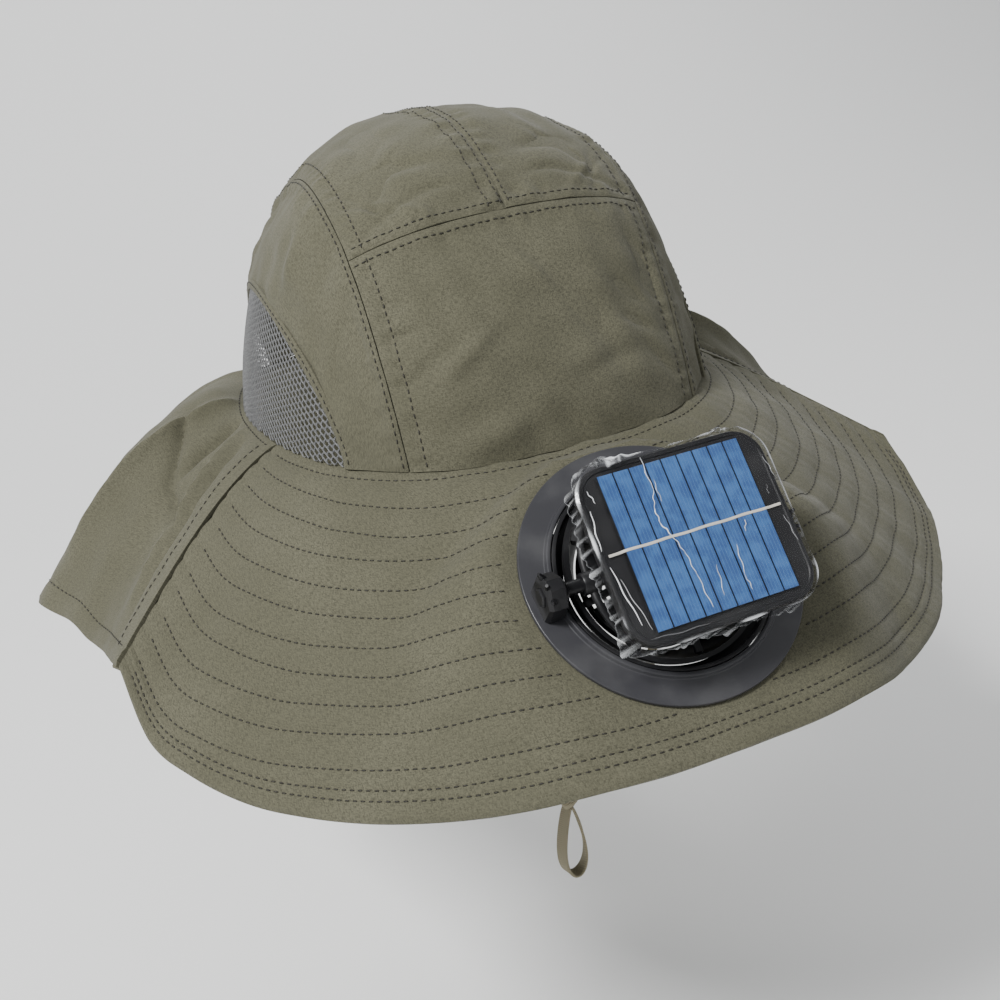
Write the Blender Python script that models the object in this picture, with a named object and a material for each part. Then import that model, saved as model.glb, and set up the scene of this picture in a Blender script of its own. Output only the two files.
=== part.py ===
"""Sun hat with a tilting solar fan set in its brim.

The wearer faces -Y and +Z is up. The origin is the centre of the head opening, in the
plane where the crown meets the brim. Lengths are in metres.
"""
from collections import namedtuple
from math import cos, pi, radians, sin, sqrt

import bmesh
import bpy
import numpy as np
from mathutils import Matrix

# Cloth
CLOTH = 0.0016
BRIM_CLOTH = 0.0018
FLAP_CLOTH = 0.0014
TAPE_CLOTH = 0.0011
SEAM_GAP = 0.0003

# Crown
CROWN_WIDTH = 0.171
CROWN_FRONT = 0.101
CROWN_BACK = 0.094
BACK_SQUARENESS = 2.0
CROWN_HEIGHT = 0.1025
STRIP_WIDTH = 0.108
CROSS_SEAM_MIDDLE = 0.72
CROSS_SEAM_SIDE = 0.63
VENT_LENGTH = 0.138
VENT_HEIGHT = 0.050
VENT_POWER = 0.75

# Brim and neck flap, measured from the centre of the head opening
SLIT_ANGLE = radians(77.0)
BRIM_SPAN = 0.316
BRIM_FRONT = 0.2005
BRIM_DROP = 0.076
FLAP_SPAN = 0.350
FLAP_BACK = 0.145
FLAP_DROP = 0.120
BRIM_LEDGE = 0.0075
BRIM_RISE = 0.3
SLIT_GAP = 0.0020
FLAP_EDGE_SHARE = 0.16

# Fan mounting, in the frame of the flange: its top face is the plane z = 0
RING_PLACE = (0.0, -0.1530, -0.0248)
RING_TILT = radians(38.5)
FLANGE_RADIUS = 0.045
FLANGE_THICKNESS = 0.0016
OPENING_RADIUS = 0.035
LIP_WIDTH = 0.0014
LIP_HEIGHT = 0.0016
TUBE_DEPTH = 0.008
COLLAR_WALL = 0.0013
COLLAR_DEPTH = 0.0072
COLLAR_CLEARANCE = 0.0011
RETAINER_WIDTH = 0.0048
FIT_GAP = 0.0003

# Tilting unit, in its own frame: the pivot axis is X through its origin
PIVOT_HEIGHT = 0.0065
UNIT_LEAN = radians(12.5)
TILT_GAP = 0.0014
HOUSING_WALL = 0.0015
HOUSING_TOP = -0.0028
HOUSING_BOTTOM = -0.0190
SHAFT_RADIUS = 0.0022
SHAFT_REACH = 0.0405
HUB_RADIUS = 0.0105
HUB_TOP = 0.0032
SPOKE_COUNT = 9
SPOKE_WIDTH = 0.0024
SPOKE_DEPTH = 0.0026
DECK_THICKNESS = 0.0009
DECK_SPREAD = radians(124.0)
MOTOR_RADIUS = 0.0085
MOTOR_LENGTH = 0.0072
ROTOR_RADIUS = 0.0250
ROTOR_HUB_RADIUS = 0.0108
ROTOR_HUB_WALL = 0.0012
BLADE_COUNT = 5
BLADE_HEIGHT = 0.0050
BLADE_THICKNESS = 0.0011
BLADE_PITCH = radians(17.0)
GUARD_THICKNESS = 0.0014
GUARD_BARS = 9

# Knobs on the flange that the pivot shafts turn in
KNOB_START = 0.0342
KNOB_END = 0.0425
KNOB_SIZE = 0.0124
BORE_GAP = 0.0003

# Solar panel
PANEL_WIDTH = 0.0620
PANEL_LENGTH = 0.0540
PANEL_CORNER = 0.0095
PANEL_THICKNESS = 0.0045
PANEL_HEIGHT = 0.0234
CELL_WIDTH = 0.0470
CELL_LENGTH = 0.0470
CELL_THICKNESS = 0.0006
CELL_SHIFT = 0.0004
FILM_THICKNESS = 0.0004
FILM_SKIRT = 0.0074
STEM_RADIUS = 0.0050
STEM_FLARE = 0.0140

# Chin tie
TAPE_WIDTH = 0.0060
CHIN_FRONT = 0.0610
CHIN_DROP = 0.1610
TIE_LENGTH = 0.0330
TIE_WIDTH = 0.0150
KNOT_SIZE = 0.0090

# Mesh fineness
CROWN_STEPS = 44
CROWN_ROWS = 11
BRIM_STEPS = 44
BRIM_ROWS = 12
FLAP_STEPS = 36
FLAP_ROWS = 6
ROUND_STEPS = 36
SMALL_STEPS = 16

Section = namedtuple("Section", "height width front back squareness")
CROWN_SECTIONS = (
    Section(0.000, 1.000, 1.000, 1.000, 2.46),
    Section(0.180, 0.965, 0.945, 0.985, 2.46),
    Section(0.350, 0.925, 0.875, 0.955, 2.45),
    Section(0.520, 0.880, 0.790, 0.905, 2.42),
    Section(0.660, 0.820, 0.690, 0.820, 2.38),
    Section(0.770, 0.735, 0.585, 0.715, 2.32),
    Section(0.860, 0.620, 0.465, 0.590, 2.25),
    Section(0.930, 0.470, 0.335, 0.440, 2.15),
    Section(0.975, 0.290, 0.200, 0.270, 2.05),
    Section(1.000, 0.000, 0.000, 0.000, 2.00),
)

# From the front centre (0) to the slit (1). Across, ahead and drop place the outer edge as
# shares of the brim's half span, front reach and drop; lift raises the middle of the section
# and push moves it back, both as shares of the drop.
BrimRow = namedtuple("BrimRow", "along across ahead drop lift push")
BRIM_TABLE = (
    BrimRow(0.00, 0.000, 1.000, 0.800, 0.110, 0.000),
    BrimRow(0.09, 0.190, 0.985, 0.835, 0.110, 0.000),
    BrimRow(0.18, 0.367, 0.938, 0.892, 0.105, 0.000),
    BrimRow(0.26, 0.488, 0.882, 0.935, 0.100, 0.000),
    BrimRow(0.33, 0.580, 0.834, 0.960, 0.095, 0.000),
    BrimRow(0.42, 0.670, 0.776, 0.982, 0.090, 0.000),
    BrimRow(0.52, 0.758, 0.703, 1.000, 0.085, 0.010),
    BrimRow(0.64, 0.844, 0.626, 0.991, 0.075, 0.020),
    BrimRow(0.78, 0.926, 0.532, 0.932, 0.060, 0.045),
    BrimRow(0.90, 0.978, 0.442, 0.850, 0.045, 0.075),
    BrimRow(1.00, 0.990, 0.329, 0.637, 0.035, 0.105),
)

# From the slit (0) round to the back centre (1). Behind is a share of the flap's back reach,
# across of its half span, drop of its drop; lift is as on the brim.
FlapRow = namedtuple("FlapRow", "along across behind drop lift")
FLAP_TABLE = (
    FlapRow(0.00, 0.870, -0.400, 0.440, 0.000),
    FlapRow(0.12, 0.905, -0.180, 0.490, 0.040),
    FlapRow(0.25, 0.950, 0.040, 0.505, 0.090),
    FlapRow(0.38, 0.995, 0.210, 0.500, 0.170),
    FlapRow(0.50, 0.945, 0.480, 0.640, 0.180),
    FlapRow(0.64, 0.790, 0.730, 0.800, 0.130),
    FlapRow(0.78, 0.540, 0.900, 0.930, 0.070),
    FlapRow(0.90, 0.260, 0.980, 0.990, 0.060),
    FlapRow(1.00, 0.000, 1.000, 1.000, 0.060),
)

# Folds of the flap: where the crest lies between slit and back centre, its height as a share
# of the flap's drop, its half width in the same measure, and its turn towards the hem.
Fold = namedtuple("Fold", "along height spread slant")
FLAP_FOLDS = (
    Fold(0.14, -0.030, 0.060, 0.06),
    Fold(0.27, 0.035, 0.055, -0.05),
    Fold(0.47, -0.040, 0.080, 0.04),
    Fold(0.72, 0.040, 0.090, 0.03),
    Fold(0.93, -0.030, 0.080, 0.00),
)

Finish = namedtuple("Finish", "colour roughness metallic")
OLIVE_CLOTH = Finish((0.120, 0.115, 0.070), 0.85, 0.0)
DARK_NET = Finish((0.030, 0.032, 0.030), 0.75, 0.0)
BEIGE_TAPE = Finish((0.300, 0.270, 0.190), 0.85, 0.0)
GREY_PLASTIC = Finish((0.060, 0.060, 0.066), 0.30, 0.0)
BLACK_PLASTIC = Finish((0.012, 0.012, 0.013), 0.28, 0.0)
BLUE_SILICON = Finish((0.030, 0.110, 0.420), 0.30, 0.2)
CLEAR_FILM = Finish((0.800, 0.820, 0.840), 0.12, 0.0)


def material(name, finish):
    """A Principled material with the finish's colour, roughness and metallic value."""
    made = bpy.data.materials.get(name)
    if made is None:
        made = bpy.data.materials.new(name)
        made.use_nodes = True
        shader = made.node_tree.nodes["Principled BSDF"]
        shader.inputs["Base Color"].default_value = (*finish.colour, 1.0)
        shader.inputs["Roughness"].default_value = finish.roughness
        shader.inputs["Metallic"].default_value = finish.metallic
    return made


def add_object(name, mesh, look, frame=None):
    """Link a mesh as an object, smooth shaded, in the frame of an empty if one is given."""
    piece = bpy.data.objects.new(name, mesh)
    bpy.context.collection.objects.link(piece)
    piece.parent = frame
    mesh.shade_smooth()
    mesh.set_sharp_from_angle(angle=radians(35.0))
    if look is not None:
        mesh.materials.append(look)
    return piece


def mesh_from(name, points, faces):
    """A mesh from points and faces, with its normals facing out."""
    mesh = bpy.data.meshes.new(name)
    mesh.from_pydata([tuple(map(float, p)) for p in points], [], faces)
    form = bmesh.new()
    form.from_mesh(mesh)
    bmesh.ops.recalc_face_normals(form, faces=form.faces)
    if form.calc_volume(signed=True) < 0:
        bmesh.ops.reverse_faces(form, faces=form.faces)
    form.to_mesh(mesh)
    form.free()
    return mesh


def boolean(piece, cutter, operation):
    """Cut or join with a second object, which stays as a hidden guide."""
    cutter.hide_render = True
    cutter.display_type = "WIRE"
    step = piece.modifiers.new(cutter.name, "BOOLEAN")
    step.operation = operation
    step.object = cutter


def smooth_table(rows, place, column="along"):
    """Values of a table at a place along its named column, through a smooth curve."""
    names = [name for name in rows[0]._fields if name != column]
    marks = [getattr(row, column) for row in rows]
    last = len(rows) - 2
    index = min(max(sum(mark <= place for mark in marks) - 1, 0), last)
    before, after = max(index - 1, 0), min(index + 2, len(rows) - 1)
    gap = marks[index + 1] - marks[index]
    share = (place - marks[index]) / gap
    values = {}
    for name in names:
        a, b = getattr(rows[index], name), getattr(rows[index + 1], name)
        start = (b - getattr(rows[before], name)) / (marks[index + 1] - marks[before]) * gap
        end = (getattr(rows[after], name) - a) / (marks[after] - marks[index]) * gap
        square, cube = share**2, share**3
        values[name] = (
            (2 * cube - 3 * square + 1) * a
            + (cube - 2 * square + share) * start
            + (3 * square - 2 * cube) * b
            + (cube - square) * end
        )
    return values


def ease(value):
    """A smooth step from 0 to 1."""
    value = min(max(value, 0.0), 1.0)
    return value * value * (3 - 2 * value)


def oval(angle, width, front, back, squareness):
    """Point of a squarish oval; the angle runs from -Y towards +X."""
    side, ahead = sin(angle), cos(angle)
    power = 2.0 / (squareness if ahead > 0 else BACK_SQUARENESS)
    reach = front if ahead > 0 else back
    across = abs(side) ** power * width * (1 if side > 0 else -1)
    along = abs(ahead) ** power * reach * (-1 if ahead > 0 else 1)
    return across, along


def crown_section(rise):
    """Half width, front, back, height and squareness of the crown at a share of its rows."""
    place = rise * (len(CROWN_SECTIONS) - 1)
    index = min(int(place), len(CROWN_SECTIONS) - 2)
    rows = [
        CROWN_SECTIONS[max(index - 1, 0)],
        CROWN_SECTIONS[index],
        CROWN_SECTIONS[index + 1],
        CROWN_SECTIONS[min(index + 2, len(CROWN_SECTIONS) - 1)],
    ]
    share = place - index
    values = []
    for a, b, c, d in zip(*rows):
        curve = 2 * b + (c - a) * share + (2 * a - 5 * b + 4 * c - d) * share**2
        values.append(0.5 * (curve + (3 * b - a - 3 * c + d) * share**3))
    height, width, front, back, squareness = values
    return (
        width * CROWN_WIDTH / 2,
        front * CROWN_FRONT,
        back * CROWN_BACK,
        height * CROWN_HEIGHT,
        squareness,
    )


def crown_point(angle, rise):
    """Point on the crown's outer face."""
    width, front, back, height, squareness = crown_section(rise)
    x, y = oval(angle, width, front, back, squareness)
    return np.array((x, y, height))


def base_point(angle, inset=0.0):
    """Point of the crown's base outline, moved inwards by an inset."""
    x, y = oval(
        angle, CROWN_WIDTH / 2 - inset, CROWN_FRONT - inset, CROWN_BACK - inset,
        CROWN_SECTIONS[0].squareness,
    )
    return np.array((x, y, 0.0))


def crown_reach(height, across, back=False):
    """Distance ahead of (or behind) the centre where the crown has a height and a width."""
    low, high = 0.0, 1.0
    for _ in range(40):
        middle = (low + high) / 2
        if crown_section(middle)[3] < height:
            low = middle
        else:
            high = middle
    width, front, rear, _, squareness = crown_section(low)
    power = BACK_SQUARENESS if back else squareness
    return (rear if back else front) * max(1 - (across / width) ** power, 0.0) ** (1 / power)


def grid_normals(grid):
    """Unit normals of a grid of points, from its neighbouring points."""
    along = np.gradient(grid, axis=0)
    over = np.gradient(grid, axis=1)
    normal = np.cross(along, over)
    length = np.linalg.norm(normal, axis=2, keepdims=True)
    return normal / np.maximum(length, 1e-12)


def sheet_solid(name, top, bottom):
    """Closed solid between two grids of points that face each other."""
    rows, columns = top.shape[:2]
    count = rows * columns
    points = list(top.reshape(-1, 3)) + list(bottom.reshape(-1, 3))
    faces = []
    for i in range(rows - 1):
        for j in range(columns - 1):
            a = i * columns + j
            quad = (a, a + 1, a + columns + 1, a + columns)
            faces.append(quad)
            faces.append(tuple(count + k for k in reversed(quad)))
    rim = list(range(columns))
    rim += [i * columns + columns - 1 for i in range(1, rows)]
    rim += [(rows - 1) * columns + j for j in reversed(range(columns - 1))]
    rim += [i * columns for i in reversed(range(1, rows - 1))]
    for a, b in zip(rim, rim[1:] + rim[:1]):
        faces.append((a, b, count + b, count + a))
    return mesh_from(name, points, faces)


def crown_shell(name):
    """The whole crown as one closed wall, open at the bottom."""
    turn = [2 * pi * i / CROWN_STEPS for i in range(CROWN_STEPS)]
    rises = [j / CROWN_ROWS for j in range(CROWN_ROWS)]
    outer = np.array([[crown_point(a, r) for r in rises] for a in turn])
    wrapped = np.concatenate((outer[-1:], outer, outer[:1]))
    normal = grid_normals(wrapped)[1:-1]
    normal[:, 0, 2] = 0.0
    normal /= np.linalg.norm(normal, axis=2, keepdims=True)
    inner = outer - normal * CLOTH
    inner[:, 0, 2] = 0.0
    top = np.array((0.0, 0.0, CROWN_HEIGHT))
    points = list(outer.reshape(-1, 3)) + list(inner.reshape(-1, 3))
    count = CROWN_STEPS * CROWN_ROWS
    points += [top, top - np.array((0.0, 0.0, CLOTH))]
    faces = []
    for i in range(CROWN_STEPS):
        follow = (i + 1) % CROWN_STEPS
        for j in range(CROWN_ROWS - 1):
            a, b = i * CROWN_ROWS + j, follow * CROWN_ROWS + j
            faces.append((a, b, b + 1, a + 1))
            faces.append((count + a, count + a + 1, count + b + 1, count + b))
        a, b = i * CROWN_ROWS, follow * CROWN_ROWS
        faces.append((a, count + a, count + b, b))
        end = CROWN_ROWS - 1
        faces.append((a + end, b + end, 2 * count))
        faces.append((count + b + end, count + a + end, 2 * count + 1))
    return mesh_from(name, points, faces)


def side_prism(name, outline, start, end):
    """Prism along X between two planes; its outline is a list of (y, z) points."""
    count = len(outline)
    points = [(x, y, z) for x in (start, end) for y, z in outline]
    faces = [tuple(range(count)), tuple(range(count, 2 * count))]
    for i in range(count):
        j = (i + 1) % count
        faces.append((i, j, count + j, count + i))
    return add_object(name, mesh_from(name, points, faces), None)


def seam_line(back):
    """Point and unit direction, in (y, z), of the cross seam's plane; the back mirrors the front."""
    middle = CROSS_SEAM_MIDDLE * CROWN_HEIGHT
    side = CROSS_SEAM_SIDE * CROWN_HEIGHT
    ahead = crown_reach(middle, 0.0) - crown_reach(side, STRIP_WIDTH / 2)
    sign = 1.0 if back else -1.0
    point = np.array((sign * crown_reach(middle, 0.0, back), middle))
    direction = np.array((sign * ahead, middle - side))
    return point, direction / np.linalg.norm(direction)


def cloth_panel(name, region, look):
    """One panel of the crown: the wall inside a region, less half a seam's gap."""
    panel = add_object(name, crown_shell(name), look)
    boolean(panel, region, "INTERSECT")
    return panel


def vent_outline(shrink):
    """Outline of the mesh vent in (y, z), smaller all round by a distance."""
    half, height = VENT_LENGTH / 2 - shrink, VENT_HEIGHT - shrink
    steps = 18
    arch = []
    for i in range(steps + 1):
        share = cos(pi * i / steps)
        arch.append((share * half, height * max(1 - share**2, 0.0) ** VENT_POWER))
    foot = -CROWN_HEIGHT / 4
    return [(half, foot)] + arch + [(-half, foot)]


def build_crown():
    """Front, top, back and side panels and the mesh vents, with their seam gaps."""
    olive = material("olive_cloth", OLIVE_CLOTH)
    net = material("dark_net", DARK_NET)
    far = 4 * CROWN_HEIGHT
    half_gap = SEAM_GAP / 2
    strip = STRIP_WIDTH / 2 - half_gap
    outlines = {}
    for back in (False, True):
        point, up = seam_line(back)
        outward = np.array((up[1], -up[0])) if back else np.array((-up[1], up[0]))
        foot = point - up * (point[1] + CROWN_HEIGHT / 10) / up[1]
        head = point + up * far
        edge = far if back else -far
        shifted = [foot + outward * half_gap, head + outward * half_gap]
        outlines[back] = [tuple(shifted[0]), tuple(shifted[1]), (edge, head[1]), (edge, foot[1])]
    front_region = side_prism("front_region", outlines[False], -strip, strip)
    back_region = side_prism("back_region", outlines[True], -strip, strip)
    cloth_panel("crown_front", front_region, olive)
    cloth_panel("crown_back", back_region, olive)
    build_top(olive, far, half_gap, strip)
    low, high = -CROWN_HEIGHT / 10, 2 * CROWN_HEIGHT
    block = [(-far, low), (far, low), (far, high), (-far, high)]
    for side, sign in (("right", -1), ("left", 1)):
        start = sign * (STRIP_WIDTH / 2 + half_gap)
        ends = sorted((start, sign * CROWN_WIDTH))
        panel_region = side_prism(f"side_region_{side}", block, *ends)
        panel = cloth_panel(f"crown_side_{side}", panel_region, olive)
        opening = side_prism(f"vent_cut_{side}", vent_outline(-half_gap), *ends)
        boolean(panel, opening, "DIFFERENCE")
        vent_region = side_prism(f"vent_region_{side}", vent_outline(half_gap), *ends)
        cloth_panel(f"vent_mesh_{side}", vent_region, net)


def build_top(olive, far, half_gap, strip):
    """The two top panels, on both sides of the centre seam."""
    (p, d), (q, e) = seam_line(False), seam_line(True)
    matrix = np.array((d, -e)).T
    meet = p + d * np.linalg.solve(matrix, q - p)[0]
    lifted = meet + np.array((0.0, half_gap / abs(d[0])))
    wedge = [tuple(lifted), tuple(lifted + e * far), tuple(lifted + d * far)]
    for side, ends in (("right", (-strip, -half_gap)), ("left", (half_gap, strip))):
        region = side_prism(f"top_region_{side}", wedge, *ends)
        cloth_panel(f"crown_top_{side}", region, olive)


def ring_axes():
    """Centre, up-slope direction and normal of the flange's plane."""
    centre = np.array(RING_PLACE)
    upslope = np.array((0.0, cos(RING_TILT), sin(RING_TILT)))
    normal = np.array((0.0, -sin(RING_TILT), cos(RING_TILT)))
    return centre, upslope, normal


def brim_point(side, reach):
    """Point on the brim's upper face: side -1 to 1 from slit to slit, reach 0 to 1 outwards."""
    row = smooth_table(BRIM_TABLE, abs(side))
    angle = side * SLIT_ANGLE
    inner = base_point(angle, CLOTH)
    inner[2] = -SEAM_GAP
    outer = np.array((
        np.sign(side) * row["across"] * BRIM_SPAN / 2,
        -row["ahead"] * BRIM_FRONT,
        -row["drop"] * BRIM_DROP,
    ))
    point = inner + (outer - inner) * reach
    arch = sin(pi * reach**0.75)
    point[2] += row["lift"] * BRIM_DROP * arch
    point[1] += row["push"] * BRIM_DROP * arch
    point = seat_on_ring(point)
    away = sqrt((point[0] - inner[0]) ** 2 + (point[1] - inner[1]) ** 2)
    point[2] = min(point[2], -SEAM_GAP + max(away - BRIM_LEDGE, 0.0) * BRIM_RISE)
    return point


def seat_on_ring(point):
    """Move a point of the brim onto the plane under the flange, near the flange."""
    centre, upslope, normal = ring_axes()
    seat = -(FLANGE_THICKNESS + FIT_GAP)
    offset = point - centre
    across, along = offset[0], offset @ upslope
    radius = sqrt(across**2 + along**2)
    full = FLANGE_RADIUS * 1.07
    fade = FLANGE_RADIUS * (0.9 - 0.8 * ease(along / FLANGE_RADIUS))
    weight = 1 - ease((radius - full) / fade)
    return point + normal * (seat - offset @ normal) * weight


def build_brim():
    """The brim, a stiff sheet from slit to slit across the front, with the fan's hole."""
    sides = [2 * i / BRIM_STEPS - 1 for i in range(BRIM_STEPS + 1)]
    reaches = [j / BRIM_ROWS for j in range(BRIM_ROWS + 1)]
    top = np.array([[brim_point(s, r) for r in reaches] for s in sides])
    normal = grid_normals(top)
    normal *= np.where(normal[..., 2:] > 0, 1.0, -1.0)
    bottom = top - normal * BRIM_CLOTH
    brim = add_object("brim", sheet_solid("brim", top, bottom), material("olive_cloth", OLIVE_CLOTH))
    radius = OPENING_RADIUS + LIP_WIDTH + FIT_GAP
    cutter = lathe_object(
        "brim_hole", [(0.0, -TUBE_DEPTH * 2), (radius, -TUBE_DEPTH * 2), (radius, TUBE_DEPTH), (0.0, TUBE_DEPTH)],
        None, FRAMES["ring"],
    )
    boolean(brim, cutter, "DIFFERENCE")


def slit_edge(reach):
    """Point of the flap's front edge on the left, a gap behind the brim's slit."""
    edge, root, tip = brim_point(1.0, reach), brim_point(1.0, 0.0), brim_point(1.0, 1.0)
    behind = np.array((root[1] - tip[1], tip[0] - root[0], 0.0))
    return edge + behind / np.linalg.norm(behind) * SLIT_GAP


def flap_point(side, reach):
    """Point on the flap's upper face: side -1 to 1 from the right slit to the left one."""
    along = 1 - abs(side)
    point = open_flap_point(along, reach)
    shift = slit_edge(reach) - open_flap_point(0.0, reach)
    point += shift * (1 - ease(along / FLAP_EDGE_SHARE))
    point[0] *= np.sign(side) if side else 1.0
    return point


def open_flap_point(along, reach):
    """Point of the flap on the left side, before its front edge is laid along the slit."""
    row = smooth_table(FLAP_TABLE, along)
    angle = SLIT_ANGLE + (pi - SLIT_ANGLE) * along
    inner = base_point(angle, CLOTH)
    inner[2] = -SEAM_GAP
    outer = np.array((row["across"] * FLAP_SPAN / 2, row["behind"] * FLAP_BACK, -row["drop"] * FLAP_DROP))
    point = inner + (outer - inner) * reach
    point[2] += row["lift"] * FLAP_DROP * sin(pi * reach**0.85)
    for fold in FLAP_FOLDS:
        crest = fold.along + fold.slant * reach
        distance = (along - crest) / fold.spread
        point[2] += fold.height * FLAP_DROP * np.exp(-(distance**2)) * ease(reach)
    return point


def build_flap():
    """The neck flap, from slit to slit round the back."""
    sides = [2 * i / FLAP_STEPS - 1 for i in range(FLAP_STEPS + 1)]
    reaches = [j / FLAP_ROWS for j in range(FLAP_ROWS + 1)]
    top = np.array([[flap_point(s, r) for r in reaches] for s in sides])
    normal = grid_normals(top)
    normal *= np.where(normal[..., 2:] > 0, 1.0, -1.0)
    bottom = top - normal * FLAP_CLOTH
    add_object("neck_flap", sheet_solid("neck_flap", top, bottom), material("olive_cloth", OLIVE_CLOTH))


def lathe_object(name, profile, look, frame, steps=ROUND_STEPS):
    """Solid turned round Z from a closed (radius, z) profile."""
    points, rings = [], []
    for radius, z in profile:
        if radius == 0.0:
            rings.append([len(points)] * steps)
            points.append((0.0, 0.0, z))
            continue
        rings.append([len(points) + i for i in range(steps)])
        for i in range(steps):
            angle = 2 * pi * i / steps
            points.append((radius * cos(angle), radius * sin(angle), z))
    faces = []
    for low, high in zip(rings, rings[1:] + rings[:1]):
        for i in range(steps):
            j = (i + 1) % steps
            corners = [low[i], low[j], high[j], high[i]]
            face = list(dict.fromkeys(corners))
            if len(face) > 2:
                faces.append(face)
    return add_object(name, mesh_from(name, points, faces), look, frame)


def block_object(name, low, high, look, frame):
    """Box between two corners."""
    points = [(x, y, z) for x in (low[0], high[0]) for y in (low[1], high[1]) for z in (low[2], high[2])]
    faces = [(0, 1, 3, 2), (4, 6, 7, 5), (0, 4, 5, 1), (2, 3, 7, 6), (0, 2, 6, 4), (1, 5, 7, 3)]
    return add_object(name, mesh_from(name, points, faces), look, frame)


def rod_along_x(name, radius, start, end, look, frame, steps=SMALL_STEPS):
    """Round rod along the frame's X axis."""
    rod = lathe_object(name, [(0.0, start), (radius, start), (radius, end), (0.0, end)], look, frame, steps)
    rod.data.transform(Matrix.Rotation(pi / 2, 4, "Y"))
    return rod


def polar_plate(name, bands, solid, thickness, top, look, frame, steps=ROUND_STEPS):
    """Plate whose polar cells are kept or left open; solid(band, step) says which."""
    points, index, faces = [], {}, []

    def vertex(ring, step, level):
        key = (ring, step % steps, level)
        if key not in index:
            index[key] = len(points)
            angle = 2 * pi * step / steps
            radius = bands[ring]
            points.append((radius * cos(angle), radius * sin(angle), top - thickness * level))
        return index[key]

    def kept(band, step):
        return 0 <= band < len(bands) - 1 and solid(band, step % steps)

    for band in range(len(bands) - 1):
        for step in range(steps):
            if not kept(band, step):
                continue
            for level in (0, 1):
                faces.append([
                    vertex(band, step, level), vertex(band + 1, step, level),
                    vertex(band + 1, step + 1, level), vertex(band, step + 1, level),
                ])
            walls = (
                (kept(band, step - 1), (band, step), (band + 1, step)),
                (kept(band, step + 1), (band, step + 1), (band + 1, step + 1)),
                (kept(band - 1, step), (band, step), (band, step + 1)),
                (kept(band + 1, step), (band + 1, step), (band + 1, step + 1)),
            )
            for joined, a, b in walls:
                if not joined:
                    faces.append([vertex(*a, 0), vertex(*b, 0), vertex(*b, 1), vertex(*a, 1)])
    return add_object(name, mesh_from(name, points, faces), look, frame)


def build_mounting():
    """Flange above the brim, collar inside it, retaining ring below and the two knobs."""
    grey = material("grey_plastic", GREY_PLASTIC)
    black = material("black_plastic", BLACK_PLASTIC)
    ring = FRAMES["ring"]
    inner, tube = OPENING_RADIUS, OPENING_RADIUS + LIP_WIDTH
    lathe_object("fan_flange", [
        (inner, -TUBE_DEPTH), (tube, -TUBE_DEPTH), (tube, -FLANGE_THICKNESS),
        (FLANGE_RADIUS - 0.3 * FLANGE_THICKNESS, -FLANGE_THICKNESS),
        (FLANGE_RADIUS, -0.7 * FLANGE_THICKNESS), (FLANGE_RADIUS, -0.3 * FLANGE_THICKNESS),
        (FLANGE_RADIUS - 0.3 * FLANGE_THICKNESS, 0.0), (tube, 0.0),
        (tube - 0.2 * LIP_WIDTH, LIP_HEIGHT), (inner, LIP_HEIGHT),
    ], grey, ring)
    outside = inner - FIT_GAP
    shelf = COLLAR_WALL - COLLAR_DEPTH
    lip = housing_radius(shelf - PIVOT_HEIGHT) + COLLAR_CLEARANCE
    lathe_object("fan_collar", [
        (lip, -COLLAR_DEPTH), (outside, -COLLAR_DEPTH), (outside, LIP_HEIGHT / 2),
        (outside - COLLAR_WALL, LIP_HEIGHT / 2), (outside - COLLAR_WALL, shelf), (lip, shelf),
    ], black, ring)
    top = -(FLANGE_THICKNESS + BRIM_CLOTH + 2 * FIT_GAP)
    hole = tube + FIT_GAP
    lathe_object("retaining_ring", [
        (hole, top - FLANGE_THICKNESS), (hole + RETAINER_WIDTH, top - FLANGE_THICKNESS),
        (hole + RETAINER_WIDTH, top), (hole, top),
    ], black, ring)
    for side, sign in (("right", -1), ("left", 1)):
        build_knob(f"pivot_block_{side}", sign, black, ring)


def build_knob(name, sign, look, frame):
    """Angular knob that stands on the flange, with a bore for the pivot shaft."""
    half, cut = KNOB_SIZE / 2, KNOB_SIZE * 0.29
    outline = [(half, cut / 2), (cut / 2, half), (-cut / 2, half), (-half, cut / 2)]
    foot = FIT_GAP - PIVOT_HEIGHT
    outline += [(-half, foot), (half, foot)]
    ends = sorted((sign * KNOB_START, sign * KNOB_END))
    knob = side_prism(name, [(y, z + PIVOT_HEIGHT) for y, z in outline], *ends)
    knob.parent = frame
    knob.data.materials.append(look)
    bore = rod_along_x(
        f"{name}_bore", SHAFT_RADIUS + BORE_GAP, 0.9 * KNOB_START, 1.1 * KNOB_END, None, frame,
    )
    bore.data.transform(Matrix.Translation((0.0, 0.0, PIVOT_HEIGHT)))
    if sign < 0:
        bore.data.transform(Matrix.Rotation(pi, 4, "Z"))
    boolean(knob, bore, "DIFFERENCE")
    lip = lathe_object(f"{name}_lip_cut", [
        (0.0, -FLANGE_THICKNESS), (OPENING_RADIUS + LIP_WIDTH + FIT_GAP, -FLANGE_THICKNESS),
        (OPENING_RADIUS + LIP_WIDTH + FIT_GAP, LIP_HEIGHT + FIT_GAP), (0.0, LIP_HEIGHT + FIT_GAP),
    ], None, frame)
    boolean(knob, lip, "DIFFERENCE")


def housing_radius(height, inset=0.0):
    """Radius of the housing's outer sphere at a height over the pivot axis."""
    sphere = OPENING_RADIUS - FIT_GAP - COLLAR_WALL - TILT_GAP - inset
    return sqrt(sphere**2 - height**2)


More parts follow.
